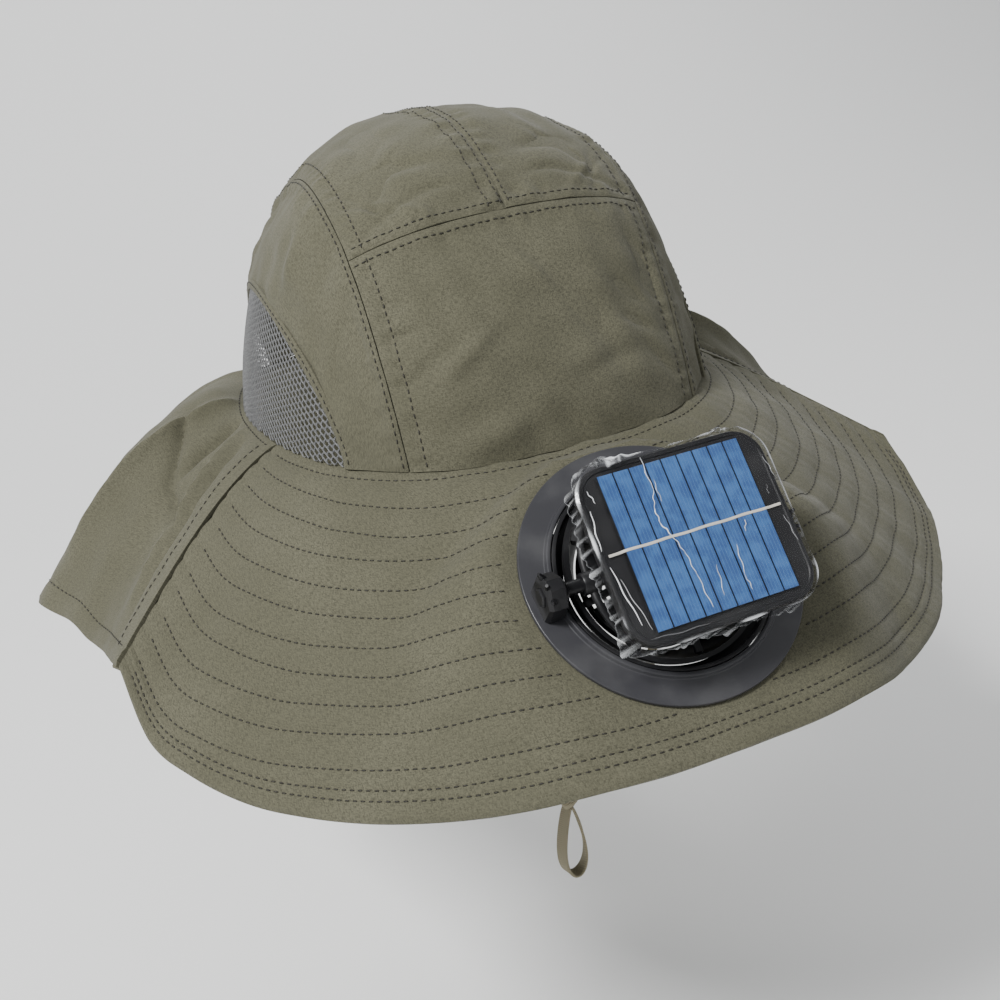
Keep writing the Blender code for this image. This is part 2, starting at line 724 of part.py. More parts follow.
def build_unit():
    """Housing, spider with pivot shafts, deck, motor and guard, which tilt together."""
    black = material("black_plastic", BLACK_PLASTIC)
    unit = FRAMES["unit"]
    heights = [HOUSING_TOP + (HOUSING_BOTTOM - HOUSING_TOP) * i / 3 for i in range(4)]
    profile = [(housing_radius(z), z) for z in heights]
    profile += [(housing_radius(z, HOUSING_WALL), z) for z in reversed(heights)]
    lathe_object("fan_housing", profile, black, unit)
    build_spider(black, unit)
    motor_top = HOUSING_TOP - SPOKE_DEPTH - FIT_GAP
    lathe_object("fan_motor", [
        (0.0, motor_top - MOTOR_LENGTH), (MOTOR_RADIUS, motor_top - MOTOR_LENGTH),
        (MOTOR_RADIUS, motor_top), (0.0, motor_top),
    ], material("grey_plastic", GREY_PLASTIC), unit, SMALL_STEPS)
    build_guard(black, unit)
    return motor_top - MOTOR_LENGTH


def build_spider(look, frame):
    """Hub with spokes out to the housing and a shaft to each knob."""
    top = HOUSING_TOP - FIT_GAP
    spider = lathe_object("fan_spider", [
        (0.0, top - SPOKE_DEPTH), (HUB_RADIUS, top - SPOKE_DEPTH),
        (HUB_RADIUS, HUB_TOP), (0.0, HUB_TOP),
    ], look, frame, SMALL_STEPS)
    start = HUB_RADIUS * 0.7
    end = housing_radius(top - SPOKE_DEPTH, HOUSING_WALL) - FIT_GAP
    for number in range(SPOKE_COUNT):
        angle = -pi / 2 + 2 * pi * number / SPOKE_COUNT
        spoke = block_object(
            f"spoke_{number}", (start, -SPOKE_WIDTH / 2, top - SPOKE_DEPTH * 0.9),
            (end, SPOKE_WIDTH / 2, top - SPOKE_DEPTH * 0.1), None, frame,
        )
        spoke.data.transform(Matrix.Rotation(angle, 4, "Z"))
        boolean(spider, spoke, "UNION")
    for side, sign in (("right", -1), ("left", 1)):
        ends = sorted((sign * start, sign * SHAFT_REACH))
        shaft = rod_along_x(f"shaft_{side}", SHAFT_RADIUS, *ends, None, frame, SMALL_STEPS - 4)
        boolean(spider, shaft, "UNION")
    inner = HUB_RADIUS + FIT_GAP * 4
    outer = housing_radius(HOUSING_TOP, HOUSING_WALL) - FIT_GAP
    middle = pi / 2
    steps = ROUND_STEPS

    def in_deck(_, step):
        return abs(2 * pi * (step + 0.5) / steps - middle) < DECK_SPREAD / 2

    polar_plate(
        "fan_deck", (inner, outer), in_deck, DECK_THICKNESS,
        top + FIT_GAP + DECK_THICKNESS - 0.1 * SPOKE_DEPTH, look, frame, steps,
    )


def build_guard(look, frame):
    """Grille that closes the housing's underside."""
    bottom = HOUSING_BOTTOM + GUARD_THICKNESS + FIT_GAP
    edge = housing_radius(HOUSING_BOTTOM, HOUSING_WALL) - FIT_GAP
    bands = tuple(edge * share for share in (0.16, 0.26, 0.56, 0.63, 0.92, 1.0))
    steps = ROUND_STEPS

    def in_bar(band, step):
        return band % 2 == 0 or step % (steps // GUARD_BARS) == 0

    polar_plate("fan_guard", bands, in_bar, GUARD_THICKNESS, bottom, look, frame, steps)


def build_rotor(motor_bottom):
    """Hub cup over the motor with pitched blades."""
    look = material("black_plastic", BLACK_PLASTIC)
    frame = FRAMES["unit"]
    inside = ROTOR_HUB_RADIUS - ROTOR_HUB_WALL
    floor = motor_bottom - FIT_GAP
    bottom = floor - ROTOR_HUB_WALL
    rim = floor + MOTOR_LENGTH * 0.6
    rotor = lathe_object("fan_rotor", [
        (0.0, bottom), (ROTOR_HUB_RADIUS, bottom), (ROTOR_HUB_RADIUS, rim),
        (inside, rim), (inside, floor), (0.0, floor),
    ], look, frame, SMALL_STEPS)
    middle = (bottom + rim) / 2
    sweep = BLADE_HEIGHT / np.tan(BLADE_PITCH) / 2
    for number in range(BLADE_COUNT):
        points, steps = [], 4
        for i in range(steps + 1):
            radius = inside + 0.4 * ROTOR_HUB_WALL + (ROTOR_RADIUS - inside) * i / steps
            radius = min(radius, ROTOR_RADIUS)
            for side in (-1, 1):
                for face in (-1, 1):
                    angle = side * sweep * (0.45 + 0.65 * i / steps) / radius
                    z = middle + side * BLADE_HEIGHT / 2 + face * BLADE_THICKNESS / 2
                    points.append((radius * cos(angle), radius * sin(angle), z))
        faces = [(0, 1, 3, 2), tuple(4 * steps + k for k in (0, 2, 3, 1))]
        for i in range(steps):
            a = 4 * i
            for k, m in ((0, 1), (1, 3), (3, 2), (2, 0)):
                faces.append((a + k, a + m, a + 4 + m, a + 4 + k))
        blade = add_object(f"blade_{number}", mesh_from("blade", points, faces), None, frame)
        blade.data.transform(Matrix.Rotation(2 * pi * number / BLADE_COUNT, 4, "Z"))
        boolean(rotor, blade, "UNION")


def rounded_rectangle(width, length, corner, steps=5):
    """Outline points of a rectangle with round corners, centred on the origin."""
    points = []
    for number, (sx, sy) in enumerate(((1, 1), (-1, 1), (-1, -1), (1, -1))):
        centre = (sx * (width / 2 - corner), sy * (length / 2 - corner))
        for i in range(steps + 1):
            angle = pi / 2 * (number + i / steps)
            points.append((centre[0] + corner * cos(angle), centre[1] + corner * sin(angle)))
    return points


def stacked_object(name, rings, look, frame):
    """Solid through a stack of outlines of equal length, given as (outline, z)."""
    count = len(rings[0][0])
    points = [(x, y, z) for outline, z in rings for x, y in outline]
    faces = [tuple(range(count)), tuple((len(rings) - 1) * count + i for i in range(count))]
    for level in range(len(rings) - 1):
        for i in range(count):
            j = (i + 1) % count
            a = level * count
            faces.append((a + i, a + j, a + count + j, a + count + i))
    return add_object(name, mesh_from(name, points, faces), look, frame)


def build_panel():
    """Stem, case, cell area and the clear film that still wraps the case."""
    black = material("black_plastic", BLACK_PLASTIC)
    unit = FRAMES["unit"]
    case_top, case_bottom = PANEL_HEIGHT, PANEL_HEIGHT - PANEL_THICKNESS
    stem_bottom, stem_top = HUB_TOP + FIT_GAP, case_bottom - FIT_GAP
    rise = stem_top - stem_bottom
    lathe_object("panel_stem", [
        (0.0, stem_bottom), (STEM_RADIUS * 1.6, stem_bottom), (STEM_RADIUS, stem_bottom + 0.25 * rise),
        (STEM_RADIUS, stem_bottom + 0.7 * rise), (STEM_FLARE, stem_top - 0.08 * rise),
        (STEM_FLARE, stem_top), (0.0, stem_top),
    ], black, unit, SMALL_STEPS)
    bevel = PANEL_THICKNESS * 0.2
    outline = rounded_rectangle(PANEL_WIDTH, PANEL_LENGTH, PANEL_CORNER)
    smaller = rounded_rectangle(PANEL_WIDTH - 2 * bevel, PANEL_LENGTH - 2 * bevel, PANEL_CORNER - bevel)
    stacked_object("panel_case", [
        (smaller, case_bottom), (outline, case_bottom + bevel), (outline, case_top - bevel), (smaller, case_top),
    ], black, unit)
    low = (-CELL_WIDTH / 2, CELL_SHIFT - CELL_LENGTH / 2, case_top + FIT_GAP)
    high = (CELL_WIDTH / 2, CELL_SHIFT + CELL_LENGTH / 2, case_top + FIT_GAP + CELL_THICKNESS)
    block_object("solar_cells", low, high, material("blue_silicon", BLUE_SILICON), unit)
    film_top = high[2] + FIT_GAP + FILM_THICKNESS
    film_foot = film_top - FILM_SKIRT
    clear = FIT_GAP + FILM_THICKNESS
    outside = rounded_rectangle(PANEL_WIDTH + 2 * clear, PANEL_LENGTH + 2 * clear, PANEL_CORNER + clear)
    inside = rounded_rectangle(PANEL_WIDTH + 2 * FIT_GAP, PANEL_LENGTH + 2 * FIT_GAP, PANEL_CORNER + FIT_GAP)
    stacked_object("panel_film", [
        (inside, film_top - FILM_THICKNESS), (inside, film_foot), (outside, film_foot), (outside, film_top),
    ], material("clear_film", CLEAR_FILM), unit)


def tape_object(name, path, widths, normals, look):
    """Flat tape along a path, with its width and thickness directions at each point."""
    points = []
    for place, across, normal in zip(path, widths, normals):
        for a, n in ((-1, -1), (1, -1), (1, 1), (-1, 1)):
            points.append(np.array(place) + across * a * TAPE_WIDTH / 2 + normal * n * TAPE_CLOTH / 2)
    faces = [(0, 1, 2, 3), tuple(4 * (len(path) - 1) + k for k in range(4))]
    for i in range(len(path) - 1):
        a = 4 * i
        for k in range(4):
            m = (k + 1) % 4
            faces.append((a + k, a + m, a + 4 + m, a + 4 + k))
    return add_object(name, mesh_from(name, points, faces), look)


def strap_path():
    """Points of the chin strap from the right of the crown, under the chin, to the left."""
    seat = CROWN_WIDTH / 2 - CLOTH - TAPE_CLOTH / 2 - 2.5 * FIT_GAP
    length = 0.11 * CROWN_HEIGHT
    half = 14
    points = []
    for i in range(half + 1):
        share = i / half
        x = seat * cos(pi / 2 * share) ** 0.62
        z = -CHIN_DROP * sin(pi / 2 * share) ** 1.25
        y = -CHIN_FRONT * share**1.15
        points.append(np.array((x, y, z)))
    top = points[0] + np.array((-0.035 * CROWN_HEIGHT, 0.0, length))
    points.insert(0, top)
    left = points
    right = [np.array((-p[0], p[1], p[2])) for p in points]
    return right + left[-2::-1]


def build_chin_tie():
    """Strap from side to side, the knot below the chin and its hanging loop."""
    look = material("beige_tape", BEIGE_TAPE)
    path = strap_path()
    across, normals = [], []
    for i, place in enumerate(path):
        tangent = path[min(i + 1, len(path) - 1)] - path[max(i - 1, 0)]
        tangent /= np.linalg.norm(tangent)
        side = np.array((0.0, 1.0, 0.0)) - tangent * tangent[1]
        side /= np.linalg.norm(side)
        across.append(side)
        normals.append(np.cross(tangent, side))
    tape_object("chin_strap", path, across, normals, look)
    knot_top = -CHIN_DROP - TAPE_CLOTH / 2 - FIT_GAP
    half = KNOT_SIZE / 2
    knot = lathe_object("tie_knot", [
        (0.0, knot_top - KNOT_SIZE), (0.55 * half, knot_top - 0.97 * KNOT_SIZE),
        (0.9 * half, knot_top - 0.75 * KNOT_SIZE), (half, knot_top - half),
        (0.9 * half, knot_top - 0.25 * KNOT_SIZE), (0.5 * half, knot_top), (0.0, knot_top),
    ], look, None, 12)
    knot.location = (0.0, -CHIN_FRONT, 0.0)
    build_tie_loop(knot_top - KNOT_SIZE - FIT_GAP, look)


def build_tie_loop(top, look):
    """Closed hanging loop of the bow, a drop shape of tape."""
    steps = 18
    rings = []
    for i in range(steps):
        angle = 2 * pi * i / steps
        share = (1 - cos(angle)) / 2
        x = TIE_WIDTH / 2 * sin(angle) * (0.35 + 0.65 * share)
        rings.append(np.array((x, 0.0, top - TAPE_CLOTH / 2 - (TIE_LENGTH - TAPE_CLOTH) * share)))
    points, faces = [], []
    for i, place in enumerate(rings):
        tangent = rings[(i + 1) % steps] - rings[i - 1]
        tangent /= np.linalg.norm(tangent)
        normal = np.cross(tangent, (0.0, 1.0, 0.0))
        for a, n in ((-1, -1), (1, -1), (1, 1), (-1, 1)):
            offset = np.array((0.0, a * TAPE_WIDTH / 2, 0.0)) + normal * n * TAPE_CLOTH / 2
            points.append(place + offset)
    for i in range(steps):
        a, b = 4 * i, 4 * ((i + 1) % steps)
        for k in range(4):
            m = (k + 1) % 4
            faces.append((a + k, a + m, b + m, b + k))
    loop = add_object("tie_loop", mesh_from("tie_loop", points, faces), look)
    loop.location = (0.0, -CHIN_FRONT, 0.0)


def add_frame(name, place, lean, parent=None):
    """Empty whose Z axis leans forward by an angle about X."""
    frame = bpy.data.objects.new(name, None)
    bpy.context.collection.objects.link(frame)
    frame.parent = parent
    frame.location = place
    frame.rotation_euler = (lean, 0.0, 0.0)
    return frame


FRAMES = {}


def main():
    """Build the whole hat."""
    for old in list(bpy.data.objects):
        bpy.data.objects.remove(old)
    FRAMES["ring"] = add_frame("ring_frame", RING_PLACE, RING_TILT)
    FRAMES["unit"] = add_frame("unit_frame", (0.0, 0.0, PIVOT_HEIGHT), UNIT_LEAN, FRAMES["ring"])
    build_crown()
    build_brim()
    build_flap()
    build_mounting()
    motor_bottom = build_unit()
    build_rotor(motor_bottom)
    build_panel()
    build_chin_tie()


main()
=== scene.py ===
"""Looks of an olive sun hat with a tilting solar fan in its brim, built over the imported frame.

The wearer faces -Y, +Z is up and lengths are in metres. The origin is the centre of the head
opening, in the plane where the crown meets the brim.
"""

import logging
from collections.abc import Callable, Iterable, Sequence
from dataclasses import dataclass, field
from enum import Enum
from math import cos, pi, radians, sin, sqrt
from typing import Any, NamedTuple

import bpy
import numpy as np
from mathutils import Matrix, Vector


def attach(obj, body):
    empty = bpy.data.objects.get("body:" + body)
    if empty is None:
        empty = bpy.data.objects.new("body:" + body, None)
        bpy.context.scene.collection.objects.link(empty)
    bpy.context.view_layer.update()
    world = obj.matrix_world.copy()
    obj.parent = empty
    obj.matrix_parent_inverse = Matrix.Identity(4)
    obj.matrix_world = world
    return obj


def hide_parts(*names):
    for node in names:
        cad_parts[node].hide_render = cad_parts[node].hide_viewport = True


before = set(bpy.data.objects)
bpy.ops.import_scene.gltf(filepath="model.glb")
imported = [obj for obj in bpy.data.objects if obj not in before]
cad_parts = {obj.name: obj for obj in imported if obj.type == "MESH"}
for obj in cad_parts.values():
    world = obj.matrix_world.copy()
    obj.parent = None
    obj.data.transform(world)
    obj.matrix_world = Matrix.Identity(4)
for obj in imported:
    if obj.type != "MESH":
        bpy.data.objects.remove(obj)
log = logging.getLogger("hat")

MILLIMETRE = 0.001
SHARP_ANGLE = radians(38.0)
WEAVE_MAP = "Weave"
Array = np.ndarray


class Body(Enum):
    """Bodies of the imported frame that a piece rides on."""

    HAT = "root"
    UNIT = "fan_unit"
    ROTOR = "rotor"


class Slot(Enum):
    """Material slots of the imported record."""

    CLOTH = "olive_cloth"
    NET = "dark_net"
    TAPE = "beige_tape"
    GREY = "grey_plastic"
    BLACK = "black_plastic"
    SILICON = "blue_silicon"
    FILM = "clear_film"


class Side(Enum):
    """Side of the wearer, as the sign of X."""

    RIGHT = -1
    LEFT = 1

    @property
    def word(self) -> str:
        """The side's name in lower case."""
        return self.name.lower()


# Shader graphs


class Value:
    """A node's output that takes part in expressions; each operator adds a Math node."""

    def __init__(self, graph: "Graph", socket: bpy.types.NodeSocket) -> None:
        """Keep the graph and the socket that carries the value."""
        self.graph = graph
        self.socket = socket

    def _with(self, operation: str, *terms: Any) -> "Value":
        """Add a Math node.

        Args:
            operation: The Math node's operation.
            terms: Its inputs in order, as values or numbers.

        Returns:
            The node's result.
        """
        return self.graph.node("ShaderNodeMath", {"operation": operation}, dict(enumerate(terms)))

    def __add__(self, other: Any) -> "Value":
        """Sum."""
        return self._with("ADD", self, other)

    def __radd__(self, other: Any) -> "Value":
        """Sum, from the left."""
        return self._with("ADD", other, self)

    def __sub__(self, other: Any) -> "Value":
        """Difference."""
        return self._with("SUBTRACT", self, other)

    def __rsub__(self, other: Any) -> "Value":
        """Difference, from the left."""
        return self._with("SUBTRACT", other, self)

    def __mul__(self, other: Any) -> "Value":
        """Product."""
        return self._with("MULTIPLY", self, other)

    def __rmul__(self, other: Any) -> "Value":
        """Product, from the left."""
        return self._with("MULTIPLY", other, self)

    def __truediv__(self, other: Any) -> "Value":
        """Quotient."""
        return self._with("DIVIDE", self, other)

    def __pow__(self, other: Any) -> "Value":
        """Power."""
        return self._with("POWER", self, other)

    def __gt__(self, other: Any) -> "Value":
        """1 where the value is larger, else 0."""
        return self._with("GREATER_THAN", self, other)

    def __lt__(self, other: Any) -> "Value":
        """1 where the value is smaller, else 0."""
        return self._with("LESS_THAN", self, other)

    def __abs__(self) -> "Value":
        """Size without sign."""
        return self._with("ABSOLUTE", self)

    def wave(self) -> "Value":
        """Sine of the value, from 0 to 1."""
        return self._with("SINE", self) * 0.5 + 0.5

    def part(self) -> "Value":
        """Fraction of the value past its whole number."""
        return self._with("FRACT", self)

    def between(self, low: float, high: float) -> "Value":
        """Smooth step.

        Args:
            low: Value that gives 0.
            high: Value that gives 1.

        Returns:
            The step, limited to 0 and 1.
        """
        settings = {"interpolation_type": "SMOOTHSTEP"}
        return self.graph.node("ShaderNodeMapRange", settings, {"Value": self, 1: low, 2: high})


class Graph:
    """Node tree of one material, round its Principled shader."""

    def __init__(self, name: str) -> None:
        """Make the material and its shader."""
        self.material = bpy.data.materials.new(name)
        self.material.use_nodes = True
        self.tree = self.material.node_tree
        self.shader = self.tree.nodes["Principled BSDF"]

    def node(
        self, kind: str, settings: dict[str, Any] | None = None,
        inputs: dict[str | int, Any] | None = None, output: str | int = 0,
    ) -> Value:
        """Add a node.

        Args:
            kind: The node's type.
            settings: Its settings, which are set first.
            inputs: Values or links of its sockets, by name or place.
            output: The socket that the result reads.

        Returns:
            The chosen output.
        """
        made = self.tree.nodes.new(kind)
        for name, value in (settings or {}).items():
            setattr(made, name, value)
        for key, value in (inputs or {}).items():
            self.feed(made.inputs[key], value)
        return Value(self, made.outputs[output])

    def feed(self, socket: bpy.types.NodeSocket, value: Any) -> None:
        """Link a value to a socket, or set the socket to a plain number or colour."""
        if isinstance(value, Value):
            self.tree.links.new(value.socket, socket)
        else:
            socket.default_value = opaque(value) if socket.type == "RGBA" else value

    def set(self, **inputs: Any) -> None:
        """Feed the shader's sockets; an underscore stands for a space in their names."""
        for name, value in inputs.items():
            self.feed(self.shader.inputs[name.replace("_", " ")], value)

    def place(self) -> Value:
        """Place on the object, in metres."""
        return self.node("ShaderNodeTexCoord", output="Object")

    def weave_place(self) -> tuple[Value, Value]:
        """Place along the cloth's warp and weft, in metres."""
        spot = self.node("ShaderNodeUVMap", {"uv_map": WEAVE_MAP})
        return self.axis(spot, "X"), self.axis(spot, "Y")

    def axis(self, place: Value, name: str) -> Value:
        """One coordinate of a place."""
        return self.node("ShaderNodeSeparateXYZ", None, {0: place}, name)

    def noise(self, pitch: float, detail: float = 2.0, place: Value | None = None) -> Value:
        """Smooth noise.

        Args:
            pitch: Rough size of its spots in metres.
            detail: Number of finer layers.
            place: Where it is read, or the place on the object.

        Returns:
            A value round 0.5.
        """
        inputs = {"Vector": place or self.place(), "Scale": 1 / pitch, "Detail": detail}
        return self.node("ShaderNodeTexNoise", None, inputs)

    def mix(self, factor: Any, first: Any, second: Any) -> Value:
        """Blend two colours.

        Args:
            factor: Share of the second.
            first: Colour at 0.
            second: Colour at 1.

        Returns:
            The blended colour.
        """
        inputs = {0: factor, 6: opaque(first), 7: opaque(second)}
        return self.node("ShaderNodeMix", {"data_type": "RGBA"}, inputs, 2)

    def bump(self, height: Value, depth: float) -> Value:
        """Normal of a raised pattern.

        Args:
            height: The pattern, from 0 to 1.
            depth: Its height in metres.

        Returns:
            The normal.
        """
        return self.node("ShaderNodeBump", None, {"Height": height, "Distance": depth})


def opaque(colour: Any) -> Any:
    """A plain colour with alpha 1; a linked value stays as it is."""
    return colour if isinstance(colour, Value) else (*colour[:3], 1.0)


Colour = tuple[float, float, float]


@dataclass(frozen=True)
class ClothFinish:
    """Plain-woven cotton cloth of uneven threads, washed."""

    colour: Colour = (0.100, 0.096, 0.063)
    shade: Colour = (0.058, 0.056, 0.037)
    light: Colour = (0.134, 0.128, 0.088)
    thread: float = 0.70 * MILLIMETRE
    thread_height: float = 0.22 * MILLIMETRE
    slub: float = 1.7 * MILLIMETRE
    stretch: float = 4.0
    patch: float = 34 * MILLIMETRE

    def build(self, name: str) -> bpy.types.Material:
        """Make the material."""
        graph = Graph(name)
        across, along = graph.weave_place()
        upright = graph.node("ShaderNodeCombineXYZ", None, {0: across * self.stretch, 1: along})
        level = graph.node("ShaderNodeCombineXYZ", None, {0: across, 1: along * self.stretch})
        warp = graph.noise(self.slub, 2.0, upright)
        weft = graph.noise(self.slub, 2.0, level)
        columns = (across * (pi / self.thread)).wave() - 0.5
        rows = (along * (pi / self.thread)).wave() - 0.5
        over = (columns * rows).between(-0.04, 0.04)
        weave = warp * over + weft * (1 - over)
        worn = graph.noise(self.patch, 3.0).between(0.36, 0.68)
        body = graph.mix(worn * 0.5, self.colour, self.light)
        grain = graph.mix(weave.between(0.28, 0.66), self.shade, body)
        graph.set(Base_Color=grain, Roughness=0.86, Normal=graph.bump(weave, self.thread_height))
        graph.set(Specular_IOR_Level=0.22, Sheen_Weight=0.08, Sheen_Roughness=0.5)
        return graph.material


@dataclass(frozen=True)
class ThreadFinish:
    """Twisted sewing thread."""

    colour: Colour = (0.010, 0.009, 0.006)
    light: Colour = (0.030, 0.027, 0.018)
    twist: float = 0.5 * MILLIMETRE

    def build(self, name: str) -> bpy.types.Material:
        """Make the material."""
        graph = Graph(name)
        fibre = graph.noise(self.twist, 2.0)
        graph.set(Base_Color=graph.mix(fibre.between(0.35, 0.7), self.colour, self.light))
        graph.set(Roughness=0.6, Normal=graph.bump(fibre, 0.1 * MILLIMETRE))
        return graph.material


@dataclass(frozen=True)
class NetFinish:
    """Knitted polyester net, its strands ribbed across."""

    colour: Colour = (0.150, 0.151, 0.150)
    shade: Colour = (0.070, 0.071, 0.072)
    rib: float = 0.5 * MILLIMETRE

    def build(self, name: str) -> bpy.types.Material:
        """Make the material."""
        graph = Graph(name)
        knit = graph.noise(self.rib, 2.0)
        graph.set(Base_Color=graph.mix(knit.between(0.3, 0.7), self.shade, self.colour))
        graph.set(Roughness=0.55, Normal=graph.bump(knit, 0.12 * MILLIMETRE))
        return graph.material


@dataclass(frozen=True)
class TapeFinish:
    """Flat woven tape with a ribbed face."""

    colour: Colour = (0.270, 0.240, 0.155)
    shade: Colour = (0.150, 0.132, 0.085)
    rib: float = 0.9 * MILLIMETRE

    def build(self, name: str) -> bpy.types.Material:
        """Make the material."""
        graph = Graph(name)
        across, along = graph.weave_place()
        ribs = ((along + abs(across) * 0.8) * (2 * pi / self.rib)).wave()
        fuzz = graph.noise(self.rib, 2.0)
        pattern = ribs * 0.7 + fuzz * 0.3
        graph.set(Base_Color=graph.mix(pattern.between(0.2, 0.7), self.shade, self.colour))
        graph.set(Roughness=0.85, Normal=graph.bump(pattern, 0.15 * MILLIMETRE))
        return graph.material


@dataclass(frozen=True)
class PlasticFinish:
    """Moulded plastic with a fine grain, scuffs and a little dust."""

    colour: Colour
    dust: Colour
    roughness: float
    grain: float = 0.7 * MILLIMETRE
    grain_height: float = 0.02 * MILLIMETRE
    dusting: float = 0.25

    def build(self, name: str) -> bpy.types.Material:
        """Make the material."""
        graph = Graph(name)
        grain = graph.noise(self.grain, 2.0)
        cloud = graph.noise(18 * MILLIMETRE, 4.0).between(0.45, 0.75)
        graph.set(Base_Color=graph.mix(cloud * self.dusting, self.colour, self.dust))
        graph.set(Roughness=self.roughness + cloud * 0.14 + grain * 0.05, Specular_IOR_Level=0.3)
        graph.set(Normal=graph.bump(grain, self.grain_height))
        return graph.material


@dataclass(frozen=True)
class SiliconFinish:
    """Blue crystalline cells cut into upright strips with fine printed fingers."""

    colour: Colour = (0.022, 0.092, 0.285)
    deep: Colour = (0.012, 0.052, 0.180)
    light: Colour = (0.045, 0.150, 0.370)
    gap: Colour = (0.010, 0.013, 0.025)
    finger: Colour = (0.105, 0.225, 0.420)
    strips: int = 9
    fingers: int = 5
    gap_share: float = 0.07

    def build(self, name: str) -> bpy.types.Material:
        """Make the material."""
        graph = Graph(name)
        across, along = graph.weave_place()
        strip = (across * self.strips).part()
        edge = abs(strip - 0.5) * 2
        parted = edge.between(1 - 1.6 * self.gap_share, 1 - self.gap_share)
        lines = abs((strip * self.fingers).part() - 0.5) * 2
        printed = lines.between(0.80, 0.93)
        crystal = graph.noise(4 * MILLIMETRE, 3.0)
        facet = graph.mix(crystal.between(0.35, 0.65), self.deep, self.light)
        body = graph.mix(0.5, self.colour, facet)
        lined = graph.mix(printed * 0.45, body, self.finger)
        graph.set(Base_Color=graph.mix(parted, lined, self.gap))
        graph.set(Roughness=0.30 + crystal * 0.12, Metallic=0.0, Coat_Weight=0.35)
        graph.set(Coat_Roughness=0.12)
        return graph.material


@dataclass(frozen=True)
class FilmFinish:
    """Clear packing film, white along its creases and edges; the white is partly the film's own whitening and partly
    painted highlight.
    """

    colour: Colour = (0.86, 0.88, 0.90)
    clear: Colour = (0.05, 0.05, 0.055)
    clearness: float = 0.03
    # Opacity of the white along the creases, which is partly painted highlight.
    crease: float = 0.75

    def build(self, name: str) -> bpy.types.Material:
        """Make the material."""
        graph = Graph(name)
        crease, _ = graph.weave_place()
        haze = graph.noise(6 * MILLIMETRE, 4.0)
        # White where the film is creased or edged: partly its own whitening, partly a painted highlight.
        white_crease_and_glint = crease.between(0.25, 1.0)
        graph.set(Base_Color=graph.mix(white_crease_and_glint, self.clear, self.colour), Roughness=0.10 + haze * 0.10)
        graph.set(Alpha=self.clearness + haze.between(0.5, 0.8) * 0.04 + white_crease_and_glint * self.crease)
        graph.set(Normal=graph.bump(haze, 0.3 * MILLIMETRE), Specular_IOR_Level=0.6)
        return graph.material


@dataclass(frozen=True)
class SilverFinish:
    """Tinned ribbon, slightly uneven."""

    colour: Colour = (0.78, 0.74, 0.66)
    roughness: float = 0.42

    def build(self, name: str) -> bpy.types.Material:
        """Make the material."""
        graph = Graph(name)
        solder = graph.noise(1.2 * MILLIMETRE, 3.0)
        graph.set(Base_Color=graph.mix(solder * 0.4, self.colour, (0.52, 0.48, 0.42)))
        graph.set(Roughness=self.roughness + solder * 0.2, Metallic=0.35)
        graph.set(Normal=graph.bump(solder, 0.1 * MILLIMETRE))
        return graph.material


@dataclass(frozen=True)
class StageFinish:
    """Matt studio paper."""

    colour: Colour = (0.86, 0.86, 0.85)

    def build(self, name: str) -> bpy.types.Material:
        """Make the material."""
        graph = Graph(name)
        tone = graph.noise(0.4, 2.0)
        graph.set(Base_Color=graph.mix(tone * 0.1, self.colour, (0.80, 0.80, 0.79)), Roughness=0.95)
        return graph.material


class Palette:
    """The materials of the hat, made once each."""

    FINISHES = {
        "cloth": ClothFinish(),
        "thread": ThreadFinish(),
        "net": NetFinish(),
        "tape": TapeFinish(),
        "grey": PlasticFinish((0.036, 0.036, 0.040), (0.12, 0.12, 0.12), 0.28),
        "black": PlasticFinish((0.009, 0.009, 0.010), (0.06, 0.06, 0.06), 0.36),
        "silicon": SiliconFinish(),
        "film": FilmFinish(),
        "silver": SilverFinish(),
        "paper": StageFinish(),
    }

    def __init__(self) -> None:
        """Build every finish."""
        self.made = {name: finish.build(f"hat_{name}") for name, finish in self.FINISHES.items()}

    def __getitem__(self, name: str) -> bpy.types.Material:
        """One material by its short name."""
        return self.made[name]


# Numeric helpers


def ease(value: Array | float) -> Array | float:
    """A smooth step from 0 to 1."""
    value = np.clip(value, 0.0, 1.0)
    return value * value * (3 - 2 * value)


def bell(distance: Array | float, width: float) -> Array | float:
    """A smooth hump of height 1 at distance 0."""
    return np.exp(-((distance / width) ** 2))


def unit(vectors: Array) -> Array:
    """Vectors at length 1."""
    return vectors / np.maximum(np.linalg.norm(vectors, axis=-1, keepdims=True), 1e-12)


def smooth_table(rows: Sequence[Any], place: Array, column: str = "along") -> dict[str, Array]:
    """Read a table through a smooth curve.

    Args:
        rows: Rows with named columns, in order of one of them.
        place: Where the table is read.
        column: The column that orders the rows.

    Returns:
        The values of the other columns.
    """
    marks = np.array([getattr(row, column) for row in rows])
    place = np.asarray(place, float)
    index = np.clip(np.searchsorted(marks, place, side="right") - 1, 0, len(rows) - 2)
    before, after = np.maximum(index - 1, 0), np.minimum(index + 2, len(rows) - 1)
    gap = marks[index + 1] - marks[index]
    share = (place - marks[index]) / gap
    square, cube = share**2, share**3
    values = {}
    for name in rows[0]._fields:
        if name == column:
            continue
        entry = np.array([getattr(row, name) for row in rows])
        a, b = entry[index], entry[index + 1]
        start = (b - entry[before]) / (marks[index + 1] - marks[before]) * gap
        end = (entry[after] - a) / (marks[after] - marks[index]) * gap
        curve = (2 * cube - 3 * square + 1) * a + (cube - 2 * square + share) * start
        values[name] = curve + (3 * square - 2 * cube) * b + (cube - square) * end
    return values


